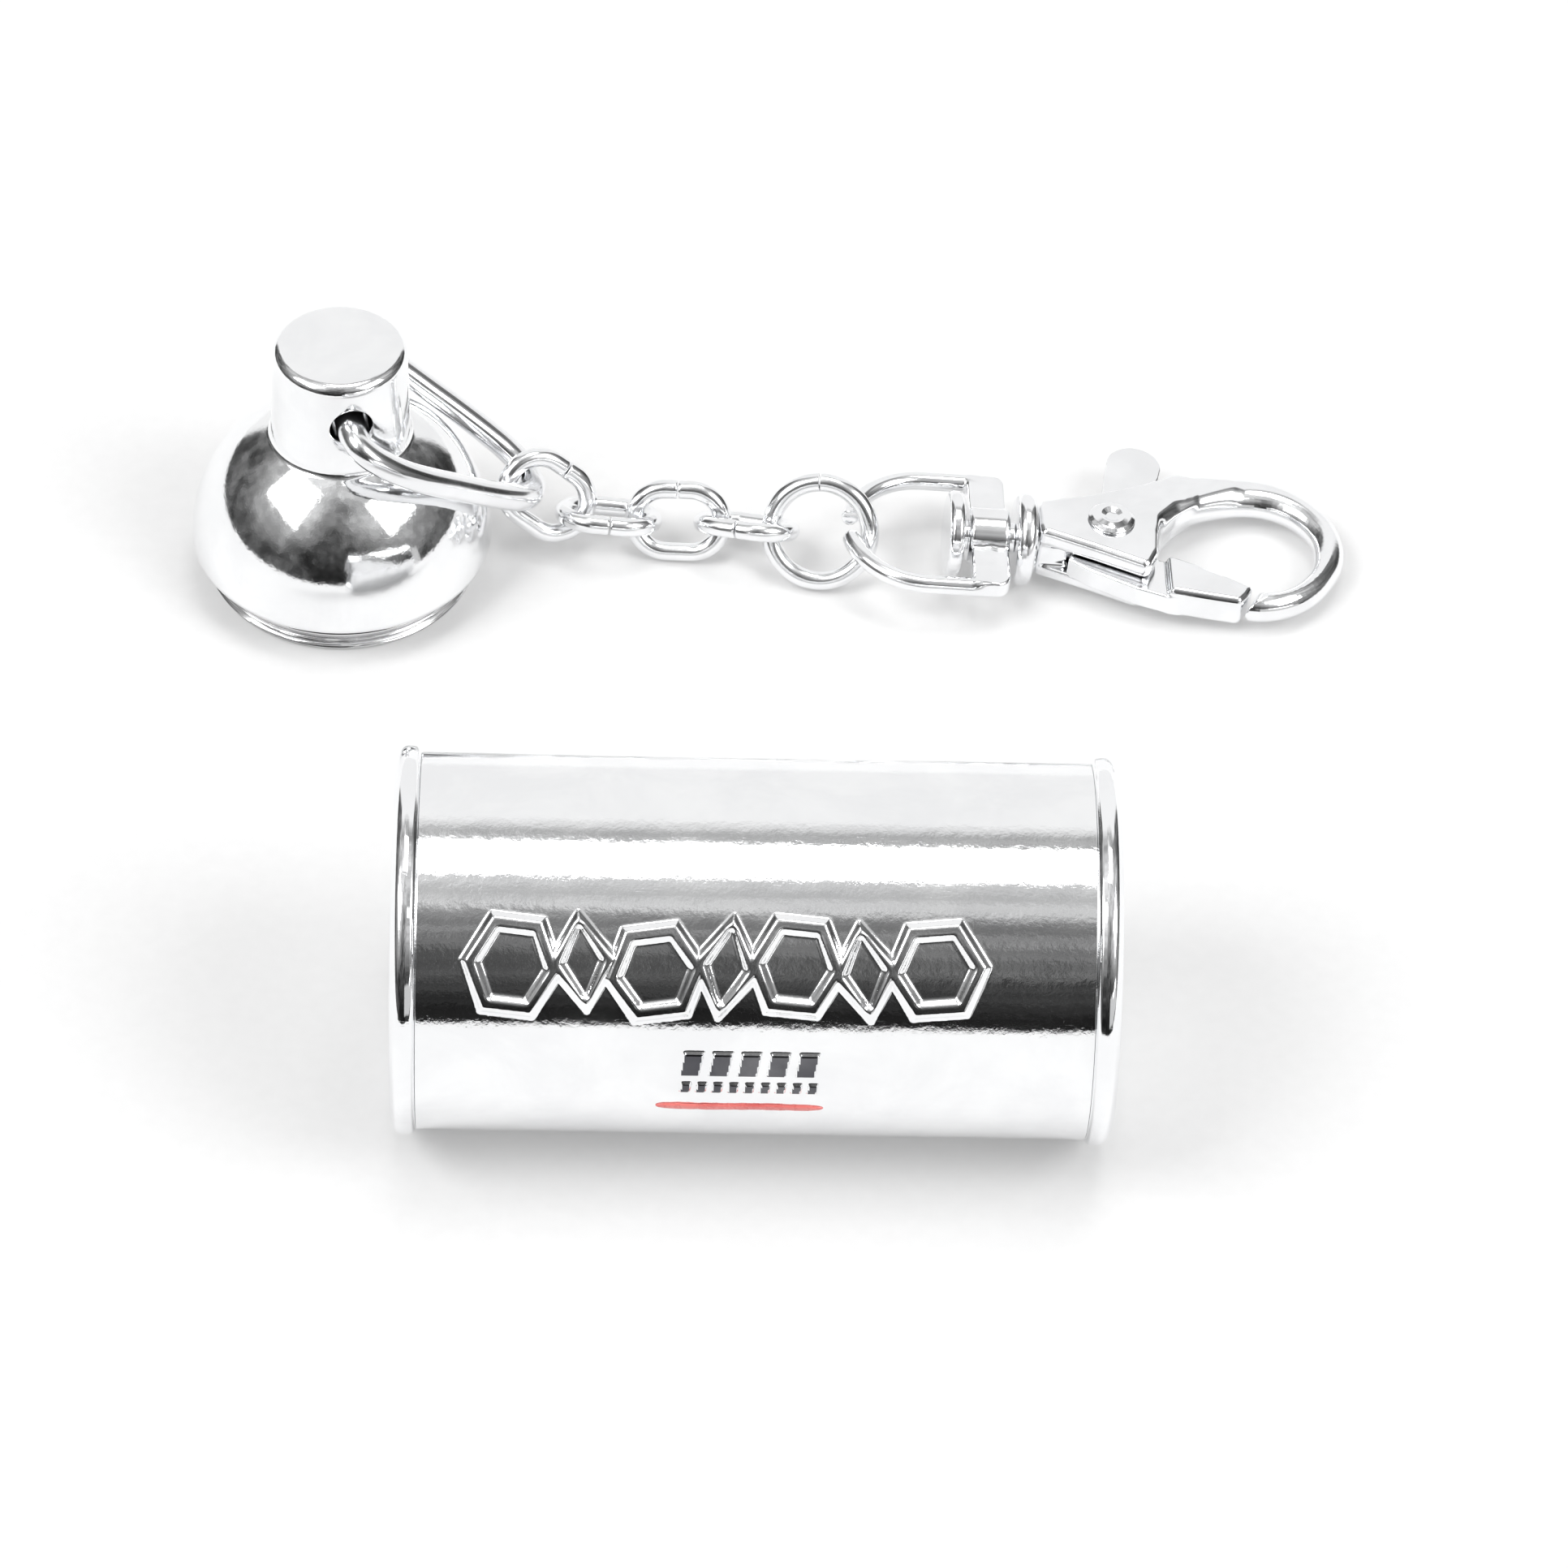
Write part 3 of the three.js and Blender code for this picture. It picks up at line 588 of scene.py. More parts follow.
MAT_SPRING = chrome("spring_steel", (0.62, 0.61, 0.6), (0.42, 0.41, 0.41), 0.18, 0.34, 2.0e-6, 2600.0, scratch=0.5, grain=0.1)


def dielectric(name, light, dark, rough0, rough1, scale, bump_d, coat=0.0, speck=None):
    m = bpy.data.materials.new(name)
    m.use_nodes = True
    N = Nodes(m.node_tree)
    out = N.add("ShaderNodeOutputMaterial")
    bsdf = N.add("ShaderNodeBsdfPrincipled")
    N.t.links.new(bsdf.outputs[0], out.inputs[0])
    co = N.add("ShaderNodeTexCoord").outputs["Object"]
    a = N.noise(co, scale, 5.0, 0.6)
    b = N.noise(co, scale * 0.2, 3.0, 0.5)
    col = N.mixcol(N.ramp(b, 0.35, 0.65), (*dark, 1), (*light, 1))
    if speck:
        col = N.mixcol(N.ramp(a, 0.62, 0.7), col, (*speck, 1))
    N.put(bsdf.inputs["Base Color"], col)
    N.put(bsdf.inputs["Roughness"], N.ramp(a, 0.3, 0.7, rough0, rough1))
    N.put(bsdf.inputs["Normal"], N.bump(b, 1.0, bump_d * 3, N.bump(a, 1.0, bump_d)))
    bsdf.inputs["Coat Weight"].default_value = coat
    bsdf.inputs["Coat Roughness"].default_value = 0.06
    return m


MAT_RUBBER = dielectric("seal_rubber", (0.035, 0.035, 0.036), (0.018, 0.018, 0.019), 0.55, 0.78, 2600.0, 3e-6, speck=(0.06, 0.06, 0.06))
MAT_RED = dielectric("red_enamel", (0.80, 0.19, 0.17), (0.68, 0.12, 0.11), 0.22, 0.36, 1500.0, 6e-6, coat=0.7)

# ---------------------------------------------------------------- can
TUBE_R, TUBE_IN, SEAM, END, BEAD_R, SKIRT_R = 12.07, 10.8, 21.35, 23.0, 12.49, 10.74
TUBE_A = SEAM - 0.012


def rot_sd(a, s, poly, at, turn):
    c, q = math.cos(rad(turn)), math.sin(rad(turn))
    x, y = a - at[0], s - at[1]
    return poly_sd(x * c + y * q, -x * q + y * c, poly)


def hexagon(rx, ry):
    return [(rx, 0), (rx * 0.52, ry), (-rx * 0.52, ry), (-rx, 0), (-rx * 0.52, -ry), (rx * 0.52, -ry)]


def lozenge(rx, ry):
    return [(rx, 0), (0, ry), (-rx, 0), (0, -ry)]


def relief(a, s):
    """Raised generic ornament: a band of linked hexagons and lozenges, with two small rows of bars below."""
    d = np.full(np.broadcast(a, s).shape, 9.0)
    row = [("h", -15.3, 8.0, 3.2, 3.15, -6), ("l", -10.9, 8.3, 2.3, 3.2, 6), ("h", -6.3, 7.7, 3.3, 3.0, 8), ("l", -1.9, 8.1, 2.3, 3.35, -8),
           ("h", 2.5, 8.2, 3.2, 3.1, -5), ("l", 6.8, 7.9, 2.3, 3.2, 8), ("h", 11.3, 8.1, 3.3, 3.0, 5)]
    for kind, x, y, rx, ry, turn in row:
        shape = hexagon if kind == "h" else lozenge
        outer = rot_sd(a, s, shape(rx, ry), (x, y), turn) - 0.12
        inner = rot_sd(a, s, shape(rx - 1.25, ry - 1.2), (x, y), turn)
        d = np.minimum(d, smax(outer, -inner, 0.25))
    edge = np.clip((-d + 0.08) / 0.55, 0, 1)
    h = 0.36 * edge * edge * (3 - 2 * edge)
    edge = np.clip((-marks(a, s) + 0.06) / 0.2, 0, 1)
    return h + 0.22 * edge * edge * (3 - 2 * edge)


def marks(a, s):
    """Two plain rows of bars, as a stand-in for the decoration there."""
    e = np.full(np.broadcast(a, s).shape, 9.0)
    for i in range(5):
        x = -3.95 + i * 1.82
        e = np.minimum(e, poly_sd(a, s, [(x - 0.78, 0.5), (x + 0.5, 0.5), (x + 0.8, 2.35), (x - 0.48, 2.35)]))
    for i in range(9):
        x = -4.3 + i * 1.0
        e = np.minimum(e, poly_sd(a, s, [(x - 0.4, -1.0), (x + 0.28, -1.0), (x + 0.42, -0.12), (x - 0.26, -0.12)]))
    return e


prof_ring = fillet([(TUBE_IN, -TUBE_A, 0.08), (TUBE_R, -TUBE_A, 0.05), (TUBE_R, TUBE_A, 0.05), (TUBE_IN, TUBE_A, 0.08)], 5, True)
step_a = 0.09
rows = []
for i, p in enumerate(prof_ring):
    q = prof_ring[(i + 1) % len(prof_ring)]
    rows.append(p)
    if abs(p[0] - TUBE_R) < 1e-6 and abs(q[0] - TUBE_R) < 1e-6 and abs(q[1] - p[1]) > 5:
        for a_ in np.arange(p[1] + 0.3, q[1] - 0.3, step_a):
            rows.append((TUBE_R, a_))
    elif abs(p[0] - TUBE_IN) < 1e-6 and abs(q[0] - TUBE_IN) < 1e-6 and abs(q[1] - p[1]) > 5:
        for a_ in np.linspace(p[1], q[1], 14)[1:-1]:
            rows.append((TUBE_IN, a_))
rows = np.array(rows)
# angle measured about +x; 180 deg is -y, so the angle up from -y is 180 - angle
dense = 180 - np.arange(-14.0, 60.0, 0.42)
sparse = np.arange(180 + 14 + 2.5, 180 - 60 + 360 - 1, 2.5)
ang = np.radians(np.sort(np.concatenate([dense, sparse]) % 360))


def tube_offset(r, a, th):
    s = (math.pi - th) * TUBE_R
    s = (s + math.pi * TUBE_R) % (2 * math.pi * TUBE_R) - math.pi * TUBE_R
    out = np.zeros(np.broadcast(a, th).shape)
    ra, ta = (r > TUBE_R - 1e-6)[:, 0], np.abs(s[0] - 4.5) < 9.5
    sel = np.ix_(ra, ta)
    out[sel] = relief(a[ra], s[:, ta])
    # a faint unevenness of the plated casting
    wave = 0.006 * np.sin(a * 0.9 + 2 * np.sin(th * 3)) * np.cos(th * 5 + a * 0.37)
    return out + np.where(r > TUBE_R - 1e-6, wave, 0)


v, f, row_of = lathe(rows, 0, "x", True, ang, tube_offset)
inner_rows = (rows[:, 0] < TUBE_IN + 0.02)
mi = np.array([1 if inner_rows[r] and inner_rows[(r + 1) % len(rows)] else 0 for r in row_of])
# the raised faces of the bars get a dark, rougher chrome, and their sides stay bright
row_a = (rows[:, 1] + np.roll(rows[:, 1], -1)) / 2
col_s = (math.pi - (ang + np.diff(np.r_[ang, ang[0] + 2 * math.pi]) / 2)) * TUBE_R
near_mark = np.abs(col_s - 0.5) < 3.2
on_mark = np.zeros((len(rows), len(ang)), bool)
on_mark[:, near_mark] = marks(row_a[:, None], col_s[None, near_mark]) < -0.1
on_mark[(rows[:, 0] < TUBE_R - 1e-6) | (np.roll(rows[:, 0], -1) < TUBE_R - 1e-6)] = False
mi[on_mark.reshape(-1)] = 2
add_object("can_tube_shell", v, f, CAN, "can_body", ["can_tube"], [MAT_PEEL, MAT_INSIDE, MAT_MARK], mat_index=mi, sharp=50)

bead_out = lambda s: [(TUBE_R - 0.05, s * SEAM, 0.02), (TUBE_R + 0.02, s * (SEAM + 0.04), 0.06), (BEAD_R - 0.12, s * (SEAM + 0.2), 0.3),
                      (BEAD_R, s * (SEAM + 0.8), 1.2), (BEAD_R - 0.14, s * (END - 0.38), 0.6), (BEAD_R - 0.85, s * END, 0.6)]
DISC = END - 1.4
base_prof = fillet([(0, DISC - 1.2), (SKIRT_R - 1, DISC - 1.2, 0.2), (SKIRT_R - 1, 17.5, 0.1), (SKIRT_R, 17.5, 0.15), (SKIRT_R, SEAM, 0.05),
                    *bead_out(1), (SKIRT_R + 0.45, END, 0.35), (SKIRT_R + 0.05, END - 0.45, 0.3), (SKIRT_R - 0.05, DISC, 0.35),
                    (8.6, DISC - 0.02, 0.6), (8.3, DISC - 0.14, 0.5), (0, DISC - 0.16)], 7)
v, f, row_of = lathe(base_prof, 176, "x")
add_object("base_cap_bead", v, f, CAN, "can_body", ["base_cap"], [MAT_CHROME], sharp=40)

PITCH, CREST_F, ROOT_F = 0.5, 9.02, 9.32
T0, T1 = -END + 0.62, -END + 0.85 + 4 * PITCH + 0.1
thread_rows = [(CREST_F, a_) for a_ in np.arange(T0, T1 + 1e-6, 0.035)]
collar = fillet([(SKIRT_R, -15.6, 0.2), (SKIRT_R, -SEAM, 0.05), *bead_out(-1), (10.35, -END, 0.35), (CREST_F + 0.42, -END + 0.1, 0.3), (CREST_F, T0 - 0.05)], 7)
collar = np.vstack([collar, thread_rows, fillet([(CREST_F, T1 + 0.08), (CREST_F + 0.05, -15.6, 0.25), (SKIRT_R, -15.6)], 6)[:-1]])


def female(r, a, th):
    ph = ((a - T0) / PITCH - th / (2 * math.pi)) % 1.0
    tri = np.clip(1.35 * (1 - np.abs(2 * ph - 1)) - 0.15, 0, 1)
    win = np.clip((a - T0 - 0.1) / 0.35, 0, 1) * np.clip((T1 - 0.05 - a) / 0.35, 0, 1)
    return np.where(np.abs(r - CREST_F) < 1e-6, (ROOT_F - CREST_F) * tri * win, 0)


v, f, row_of = lathe(collar, 160, "x", True, None, female)
add_object("neck_collar_threaded", v, f, CAN, "can_body", ["neck_collar"], [MAT_CHROME], sharp=48)

# enamel line: a drawn bead of enamel with soft ends on the tube
STRIPE_LEN, STRIPE_X, STRIPE_ANG = 10.6, -0.85, -12.3
na, ns = 150, 17
aa = np.linspace(-1, 1, na)
vs = []
for side in (0, 1):
    for i, q in enumerate(aa):
        taper = (1 - abs(q) ** 14) ** 0.5 if abs(q) < 1 else 0.0
        taper *= 1.0 - 0.18 * (q > 0) * q ** 3
        half = 0.28 * max(taper, 0.12) * (1 + 0.07 * math.sin(q * 17 + 1) + 0.05 * math.sin(q * 41))
        mid = 0.03 * math.sin(q * 5 + 0.4)
        for j in range(ns):
            t = -1 + 2 * j / (ns - 1)
            s = mid + t * half
            rr = TUBE_R + (0.012 if side == 0 else 0.02 + 0.135 * max(taper, 0.1) * (1 - t ** 4) ** 0.5 * (1 + 0.04 * math.sin(q * 29)))
            ph = rad(STRIPE_ANG) + s / TUBE_R
            vs.append((STRIPE_X + q * STRIPE_LEN / 2, -rr * math.cos(ph), rr * math.sin(ph)))
top = grid_faces(na, ns, False, False) + na * ns
bot = grid_faces(na, ns, False, False)[:, ::-1]
side_f = []
edge = [(i, 0) for i in range(na)] + [(na - 1, j) for j in range(1, ns)] + [(i, ns - 1) for i in range(na - 2, -1, -1)] + [(0, j) for j in range(ns - 2, 0, -1)]
for k, (i, j) in enumerate(edge):
    i2, j2 = edge[(k + 1) % len(edge)]
    a_, b_ = i * ns + j, i2 * ns + j2
    side_f.append([a_, b_, b_ + na * ns, a_ + na * ns][::-1])
add_object("enamel_line", vs, top.tolist() + bot.tolist() + side_f, CAN, "can_body", ["enamel_stripe"], [MAT_RED], sharp=60)

# ---------------------------------------------------------------- cap
DOME_R, DOME_Z, RIM_Z, FIL = 10.31, 3.11, 2.45, 0.6
NB, NT, NZ = 4.78, 4.57, 19.83
fr = NB + FIL
fz = DOME_Z + math.sqrt((DOME_R + FIL) ** 2 - fr ** 2)
touch = math.degrees(math.atan2(fz - DOME_Z, fr))
outer = [(9.0 + 0.4, RIM_Z), (9.6, RIM_Z), (9.86, RIM_Z + 0.03), (10.06, RIM_Z + 0.14), (10.2, RIM_Z + 0.3), (10.27, RIM_Z + 0.46)]
outer += arc_pts(0, DOME_Z, DOME_R, 0, touch, 84)
outer += arc_pts(fr, fz, FIL, 180 + touch, 180, 12)[1:]
top_edge = fillet([(NB, fz + 0.02), (NT, NZ, 0.8), (0.001, NZ)], 14)
outer += [tuple(p) for p in np.linspace((NB, fz), top_edge[1], 46)[1:-1]]
outer += [tuple(p) for p in top_edge[1:-1]] + [(3.0, NZ), (1.5, NZ), (0, NZ)]
cav0 = math.degrees(math.asin((6.3 - 2.9) / 8.6))
inner = [(0, 11.5)] + [p for p in arc_pts(0, 2.9, 8.6, 90, cav0, 26)[1:]] + [(8.95, 6.3), (8.95, 4.4), (8.95, RIM_Z + 0.2), (9.02, RIM_Z + 0.06)]
v, f, row_of = lathe(inner + outer, 200, "z")
cap_obj = add_object("dome_cap_cast", v, f, CAP, "cap", ["dome_cap"], [MAT_DOME], sharp=40)
flare = [(1.37 + 0.62 * (1 - math.cos(t)), -4.02 - 0.62 * math.sin(t)) for t in np.linspace(1.35, 0.0, 9)]
half = [(0, -5.6), (2.6, -5.6), (2.3, -4.95)] + flare + [(1.35, -3.4), (1.35, -1.2)]
hole_prof = half + [(r_, -a_) for r_, a_ in reversed(half)]
tv, tf, _ = lathe(hole_prof, 72, "x")
# the tool's own axis (x) is turned onto local y of the cap, along the cross hole
tv = (np.stack([-tv[:, 1], tv[:, 0], tv[:, 2]], -1) + np.array([0, 0, 16.2])) @ CAP[:3, :3].T
tool_mesh = bpy.data.meshes.new("hole_tool")
tool_mesh.from_pydata((tv * 0.001).tolist(), [], [list(x) for x in tf])
tool_mesh.update()
tool = bpy.data.objects.new("hole_tool", tool_mesh)
bpy.context.scene.collection.objects.link(tool)
tool.matrix_world = cap_obj.matrix_world.copy()
bpy.context.view_layer.update()
for mesh_ in (tool_mesh, cap_obj.data):
    bm = bmesh.new()
    bm.from_mesh(mesh_)
    bmesh.ops.recalc_face_normals(bm, faces=bm.faces)
    bm.to_mesh(mesh_)
    bm.free()
mod = cap_obj.modifiers.new("hole", "BOOLEAN")
mod.operation, mod.object, mod.solver = "DIFFERENCE", tool, "EXACT"
dg = bpy.context.evaluated_depsgraph_get()
cut = bpy.data.meshes.new_from_object(cap_obj.evaluated_get(dg))
cap_obj.modifiers.clear()
cap_obj.data = cut
cut.name = "dome_cap_cast"
bpy.data.objects.remove(tool)
cut.materials.clear()
cut.materials.append(MAT_DOME)
cut.polygons.foreach_set("use_smooth", np.ones(len(cut.polygons), bool))
cut.polygons.foreach_set("material_index", np.zeros(len(cut.polygons), np.int32))
cut.set_sharp_from_angle(angle=rad(38))

PL_CREST, PL_ROOT, PL_IN = 9.21, 8.93, 7.9
male_rows = [(PL_CREST, a_) for a_ in np.arange(0.14, 1.62, 0.035)]
plug = fillet([(PL_IN, 0, 0.15), (PL_ROOT - 0.1, 0, 0.1), (PL_ROOT, 0.1)], 5)
plug = np.vstack([plug, male_rows, fillet([(PL_CREST, 1.66), (PL_CREST, 1.7, 0.03), (8.72, 1.7, 0.08), (8.72, 2.7, 0.08), (8.9, 2.85, 0.05), (8.9, 6.1, 0.1), (PL_IN, 6.1, 0.1), (PL_IN, 3.0)], 5)])


def male(r, a, th):
    ph = ((a - 0.05) / PITCH - th / (2 * math.pi)) % 1.0
    tri = np.clip(1.35 * (1 - np.abs(2 * ph - 1)) - 0.15, 0, 1)
    win = np.clip((a - 0.14) / 0.25, 0, 1)
    depth = (PL_CREST - PL_ROOT) * (1 - tri * win)
    fade = np.clip((1.55 - a) / 0.15, 0, 1)
    return np.where((np.abs(r - PL_CREST) < 1e-6) & (a < 1.64), -depth * fade, 0)


v, f, row_of = lathe(plug, 160, "z", True, None, male)
add_object("thread_plug_turned", v, f, CAP, "cap", ["thread_plug"], [MAT_THREAD_PAINTED_SHADE], sharp=48)

# seal ring: moulded torus with a fine parting line
nt_, nm_ = 160, 28
tv = []
for i in range(nt_):
    t = 2 * math.pi * i / nt_
    for j in range(nm_):
        q = 2 * math.pi * j / nm_
        rr = 0.325 + 0.012 * math.exp(-(((q + math.pi) % (2 * math.pi) - math.pi) / 0.16) ** 2) + 0.003 * math.sin(7 * t)
        tv.append(((9.1 + rr * math.cos(q)) * math.cos(t), (9.1 + rr * math.cos(q)) * math.sin(t), 2.08 + rr * math.sin(q)))
add_object("seal_ring_moulded", tv, grid_faces(nt_, nm_, True, True), CAP, "seal", ["seal_ring"], [MAT_RUBBER], sharp=60)

# ---------------------------------------------------------------- bail
near = [(0, -.15), (0, -1.5), (0, -3.0), (0, -4.3), (.02, -5.25), (.32, -6.15), (1.15, -6.68), (2.3, -6.84), (3.6, -6.82), (5.3, -6.5),
        (6.9, -6.02), (8.9, -5.3), (11.4, -4.42), (14.0, -3.35), (15.5, -2.55), (16.6, -1.5), (17.1, 0)]
far = [(t, -s * (0.975 if t > 5 else 0.985)) for t, s in near[:-1]][::-1]
far[-1] = (far[-1][0], 0.15)
path = resample(spline(near + far, 14), 0.14)


def bail_section(s, total):
    q = np.linspace(0, 2 * math.pi, 36, endpoint=False)
    x = s / total
    k = 1.04 - 0.12 * x + 0.012 * math.sin(x * 31)
    e = 0.86   # squarish oval of a pressed wire
    cs, sn = np.cos(q), np.sin(q)
    return np.stack([1.0 * k * np.sign(cs) * np.abs(cs) ** e, 0.85 * k * np.sign(sn) * np.abs(sn) ** e], -1)


v, f = sweep_planar(path, bail_section, 0.2)
add_object("bail_wire", v, f, BAIL, "bail", ["bail"], [MAT_WIRE], sharp=50)

# ---------------------------------------------------------------- chain
def stadium(length, wide, gap):
    r, s = wide / 2, (length - wide) / 2
    pts = [(gap / 2, r)]
    if s > 0.01:
        pts += [(s * k / 6, r) for k in range(1, 6)]
    pts += [(s + r * math.cos(t), r * math.sin(t)) for t in np.linspace(math.pi / 2, -math.pi / 2, 49)]
    if s > 0.01:
        pts += [(s - 2 * s * k / 10, -r) for k in range(1, 10)]
    pts += [(-s + r * math.cos(t), r * math.sin(t)) for t in np.linspace(-math.pi / 2, -3 * math.pi / 2, 49)]
    if s > 0.01:
        pts += [(-s + s * k / 6, r) for k in range(1, 6)]
    pts += [(-gap / 2, r)]
    keep = [pts[0]]
    for p in pts[1:]:
        if math.hypot(p[0] - keep[-1][0], p[1] - keep[-1][1]) > 0.02:
            keep.append(p)
    return np.array(keep, float)


for i, where in enumerate(LINKS):
    ring = i == 4
    L, Wd = (6.9, 6.9) if ring else (6.2, 4.5)

    def link_section(s, total, i=i):
        q = np.linspace(0, 2 * math.pi, 30, endpoint=False)
        x = s / total * 2 * math.pi
        k = 1 + 0.012 * math.sin(3 * x + i) + 0.008 * math.sin(7 * x + 2 * i)
        return np.stack([0.65 * k * np.cos(q), 0.65 * (2 - k) * np.sin(q)], -1)
    path = resample(stadium(L, Wd, 0.1), 0.12)
    v, f = sweep_planar(path, link_section, 0.1, 4)
    name = "chain_ring" if ring else f"chain_link_{i + 1}"
    add_object(name + "_wire", v, f, where, "ring" if ring else f"link_{i + 1}", [name], [MAT_WIRE], sharp=50)

# ---------------------------------------------------------------- clasp
EYE_W, EYE_H, EYE_L, BAR0, BAR1 = 0.635, 5.3, -2.19, 6.05, 8.75
ec, kc, U1 = EYE_L + EYE_H, 1.2, 7.4
loop = [(U1, 2.0), (U1, EYE_H - kc)] + arc_pts(U1 - kc, EYE_H - kc, kc, 0, 90, 8)[1:] + arc_pts(ec, 0, EYE_H, 90, 270, 72) + \
    arc_pts(U1 - kc, -EYE_H + kc, kc, 270, 360, 8) + [(U1, -2.0)]
bar_poly = fillet([(BAR1, EYE_H + 0.32, 0.75), (BAR0 + 0.1, EYE_H + 0.32, 0.2), (BAR0 + 0.1, -EYE_H - 0.32, 0.2), (BAR1, -EYE_H - 0.32, 0.95)], 8, True, 0.5)


def f_eye(u, v, w):
    d = np.sqrt(line_d(u, v, loop) ** 2 + w * w) - EYE_W
    bar = slab(poly_sd(u, v, bar_poly), w, -0.66, 0.66, 0.24)
    rr = np.sqrt(v * v + w * w)
    a, b = rr - 2.0 + 0.34, np.abs(u - 7.4) - (1.4 - 0.34)
    barrel = np.minimum(np.maximum(a, b), 0) + np.hypot(np.maximum(a, 0), np.maximum(b, 0)) - 0.34
    d = smin(d, bar, 0.28)
    d = smin(d, barrel, 0.22)
    return smax(d, -(rr - 1.06), 0.12)


H = 0.12
v, f, n = cast(f_eye, (-3.2, -6.4, -2.3), (9.2, 6.4, 2.3), H)
add_object("swivel_eye_cast", v, f, CLASP, "eye", ["swivel_eye"], [MAT_CAST], normals=n)

post = fillet([(0, 4.5), (2.99, 4.5, 0.4), (2.99, 5.57, 0.4), (1.0, 5.57, 0.12), (1.0, 9.25, 0.12), (3.24, 9.25, 0.6), (3.24, 10.6, 0.6), (1.0, 10.6, 0.1),
               (1.0, 13.0, 0.15), (0, 13.0)], 9)
v, f, _ = lathe(post, 120, "x")
add_object("swivel_post_turned", v, f, CLASP, "claw", ["swivel_post"], [MAT_CAST], sharp=40)

cheek_hi = [(10.95, -1.4, .4), (10.78, -0.6, .4), (10.78, 1.3, .4), (11.0, 1.98, .5), (14.5, 2.95, 3), (18.2, 4.35, 2), (19.5, 5.15, 1), (20.6, 6.0, .8),
            (22.4, 6.15, 1.5), (24.9, 6.1, .6), (25.0, 5.0, .6), (22.6, 3.75, 1.5), (20.7, 2.6, 1.0), (19.5, 0.9, 1.5), (19.15, -0.7, 2), (19.0, -2.6, 1.2), (18.4, -4.0, .6), (17.9, -4.15, .5), (14.5, -2.75, 3)]
cheek_lo = [(10.95, -1.4, .4), (10.78, -0.6, .4), (10.78, 1.3, .4), (10.95, 1.95, .5), (14.5, 2.95, 3), (18.2, 4.35, 2), (19.5, 5.15, 1), (20.6, 5.9, .6),
            (21.2, 5.2, .5), (21.0, 3.2, 1), (19.6, 1.2, 1), (18.95, -0.6, 1.5), (18.4, -3.6, .6), (17.7, -4.1, .4), (14.5, -2.75, 3)]
P_HI, P_LO = fillet(cheek_hi, 8, True, 9), fillet(cheek_lo, 8, True, 9)
hook_out = [(20.35, 6.4), (22.2, 6.8), (24.16, 6.98), (26.0, 7.0), (27.4, 6.8), (28.9, 6.2), (30.54, 4.96), (31.66, 3.51), (32.25, 2.01),
            (32.42, 0.4), (32.2, -1.1), (31.63, -2.41), (30.58, -4.09), (29.16, -5.43), (27.66, -6.17), (26.3, -6.45), (25.0, -6.42)]
hook_in = [(25.86, -4.6), (26.5, -4.5), (27.24, -4.33), (28.22, -3.78), (29.3, -2.68), (30.05, -1.32), (30.3, 0.17), (30.15, 1.46), (29.5, 2.66),
           (28.5, 3.6), (27.13, 4.15), (25.59, 4.2), (24.03, 3.85), (21.94, 3.0), (20.75, 2.2)]
P_HOOK = np.vstack([spline(hook_out, 4), spline(hook_in, 4)])
P_ROOT = fillet([(20.2, 5.9, .3), (21.6, 5.9, .3), (22.0, 3.6, .5), (20.43, 1.95, .5), (19.6, 0.75, .4), (19.2, 0.42, .15), (18.85, 0.45, .15), (18.78, 1.8, .5), (19.15, 3.6, .5)], 6, True, 9)
P_WEB = fillet([(10.85, -1.3, .3), (12.95, -1.3, .1), (12.82, -0.6), (12.8, 0.2), (12.85, 1.0), (13.05, 1.5, .1), (10.85, 1.5, .3)], 6, True, 9)
PIV = (15.8, 0.2)


def f_claw(u, v, w):
    d = rod(poly_sd(u, v, P_HOOK), w, 1.36, 1.22)
    d = smin(d, slab(poly_sd(u, v, P_ROOT), w, -1.18, 1.18, 0.12), 0.3)
    hi = slab(poly_sd(u, v, P_HI), w + 0.27 * np.clip(u - 19.0, 0, 3.3), 0.6, 2.1, 0.55)
    # the cheek's inner side stays flat beside the lever
    hi = smax(hi, 0.6 - w, 0.06)
    lo = slab(poly_sd(u, v, P_LO), w, -2.1, -1.15, 0.3)
    d = smin(d, hi, 0.85)
    d = smin(d, lo, 0.25)
    d = smin(d, slab(poly_sd(u, v, P_WEB), w, -1.8, 1.8, 0.2), 0.3)
    # slot and hole for lever and rivet
    slot = slab(poly_sd(u, v, [(13.1, -7), (18.7, -7), (19.0, 0.45), (18.78, 4.6), (17.0, 9.0), (13.1, 9.0)]), w, -1.14, 0.6, 0.02)
    d = smax(d, -slot, 0.03)
    pin = np.sqrt((u - PIV[0]) ** 2 + (v - PIV[1]) ** 2) - 0.95
    d = smax(d, -pin, 0.06)
    sock = np.maximum(np.sqrt(v * v + w * w) - 1.04, u - 13.2)
    return smax(d, -sock, 0.05)


v, f, n = cast(f_claw, (10.4, -7.0, -2.5), (32.9, 7.5, 2.5), H)
add_object("claw_body_cast", v, f, CLASP, "claw", ["claw_body"], [MAT_CAST], normals=n)

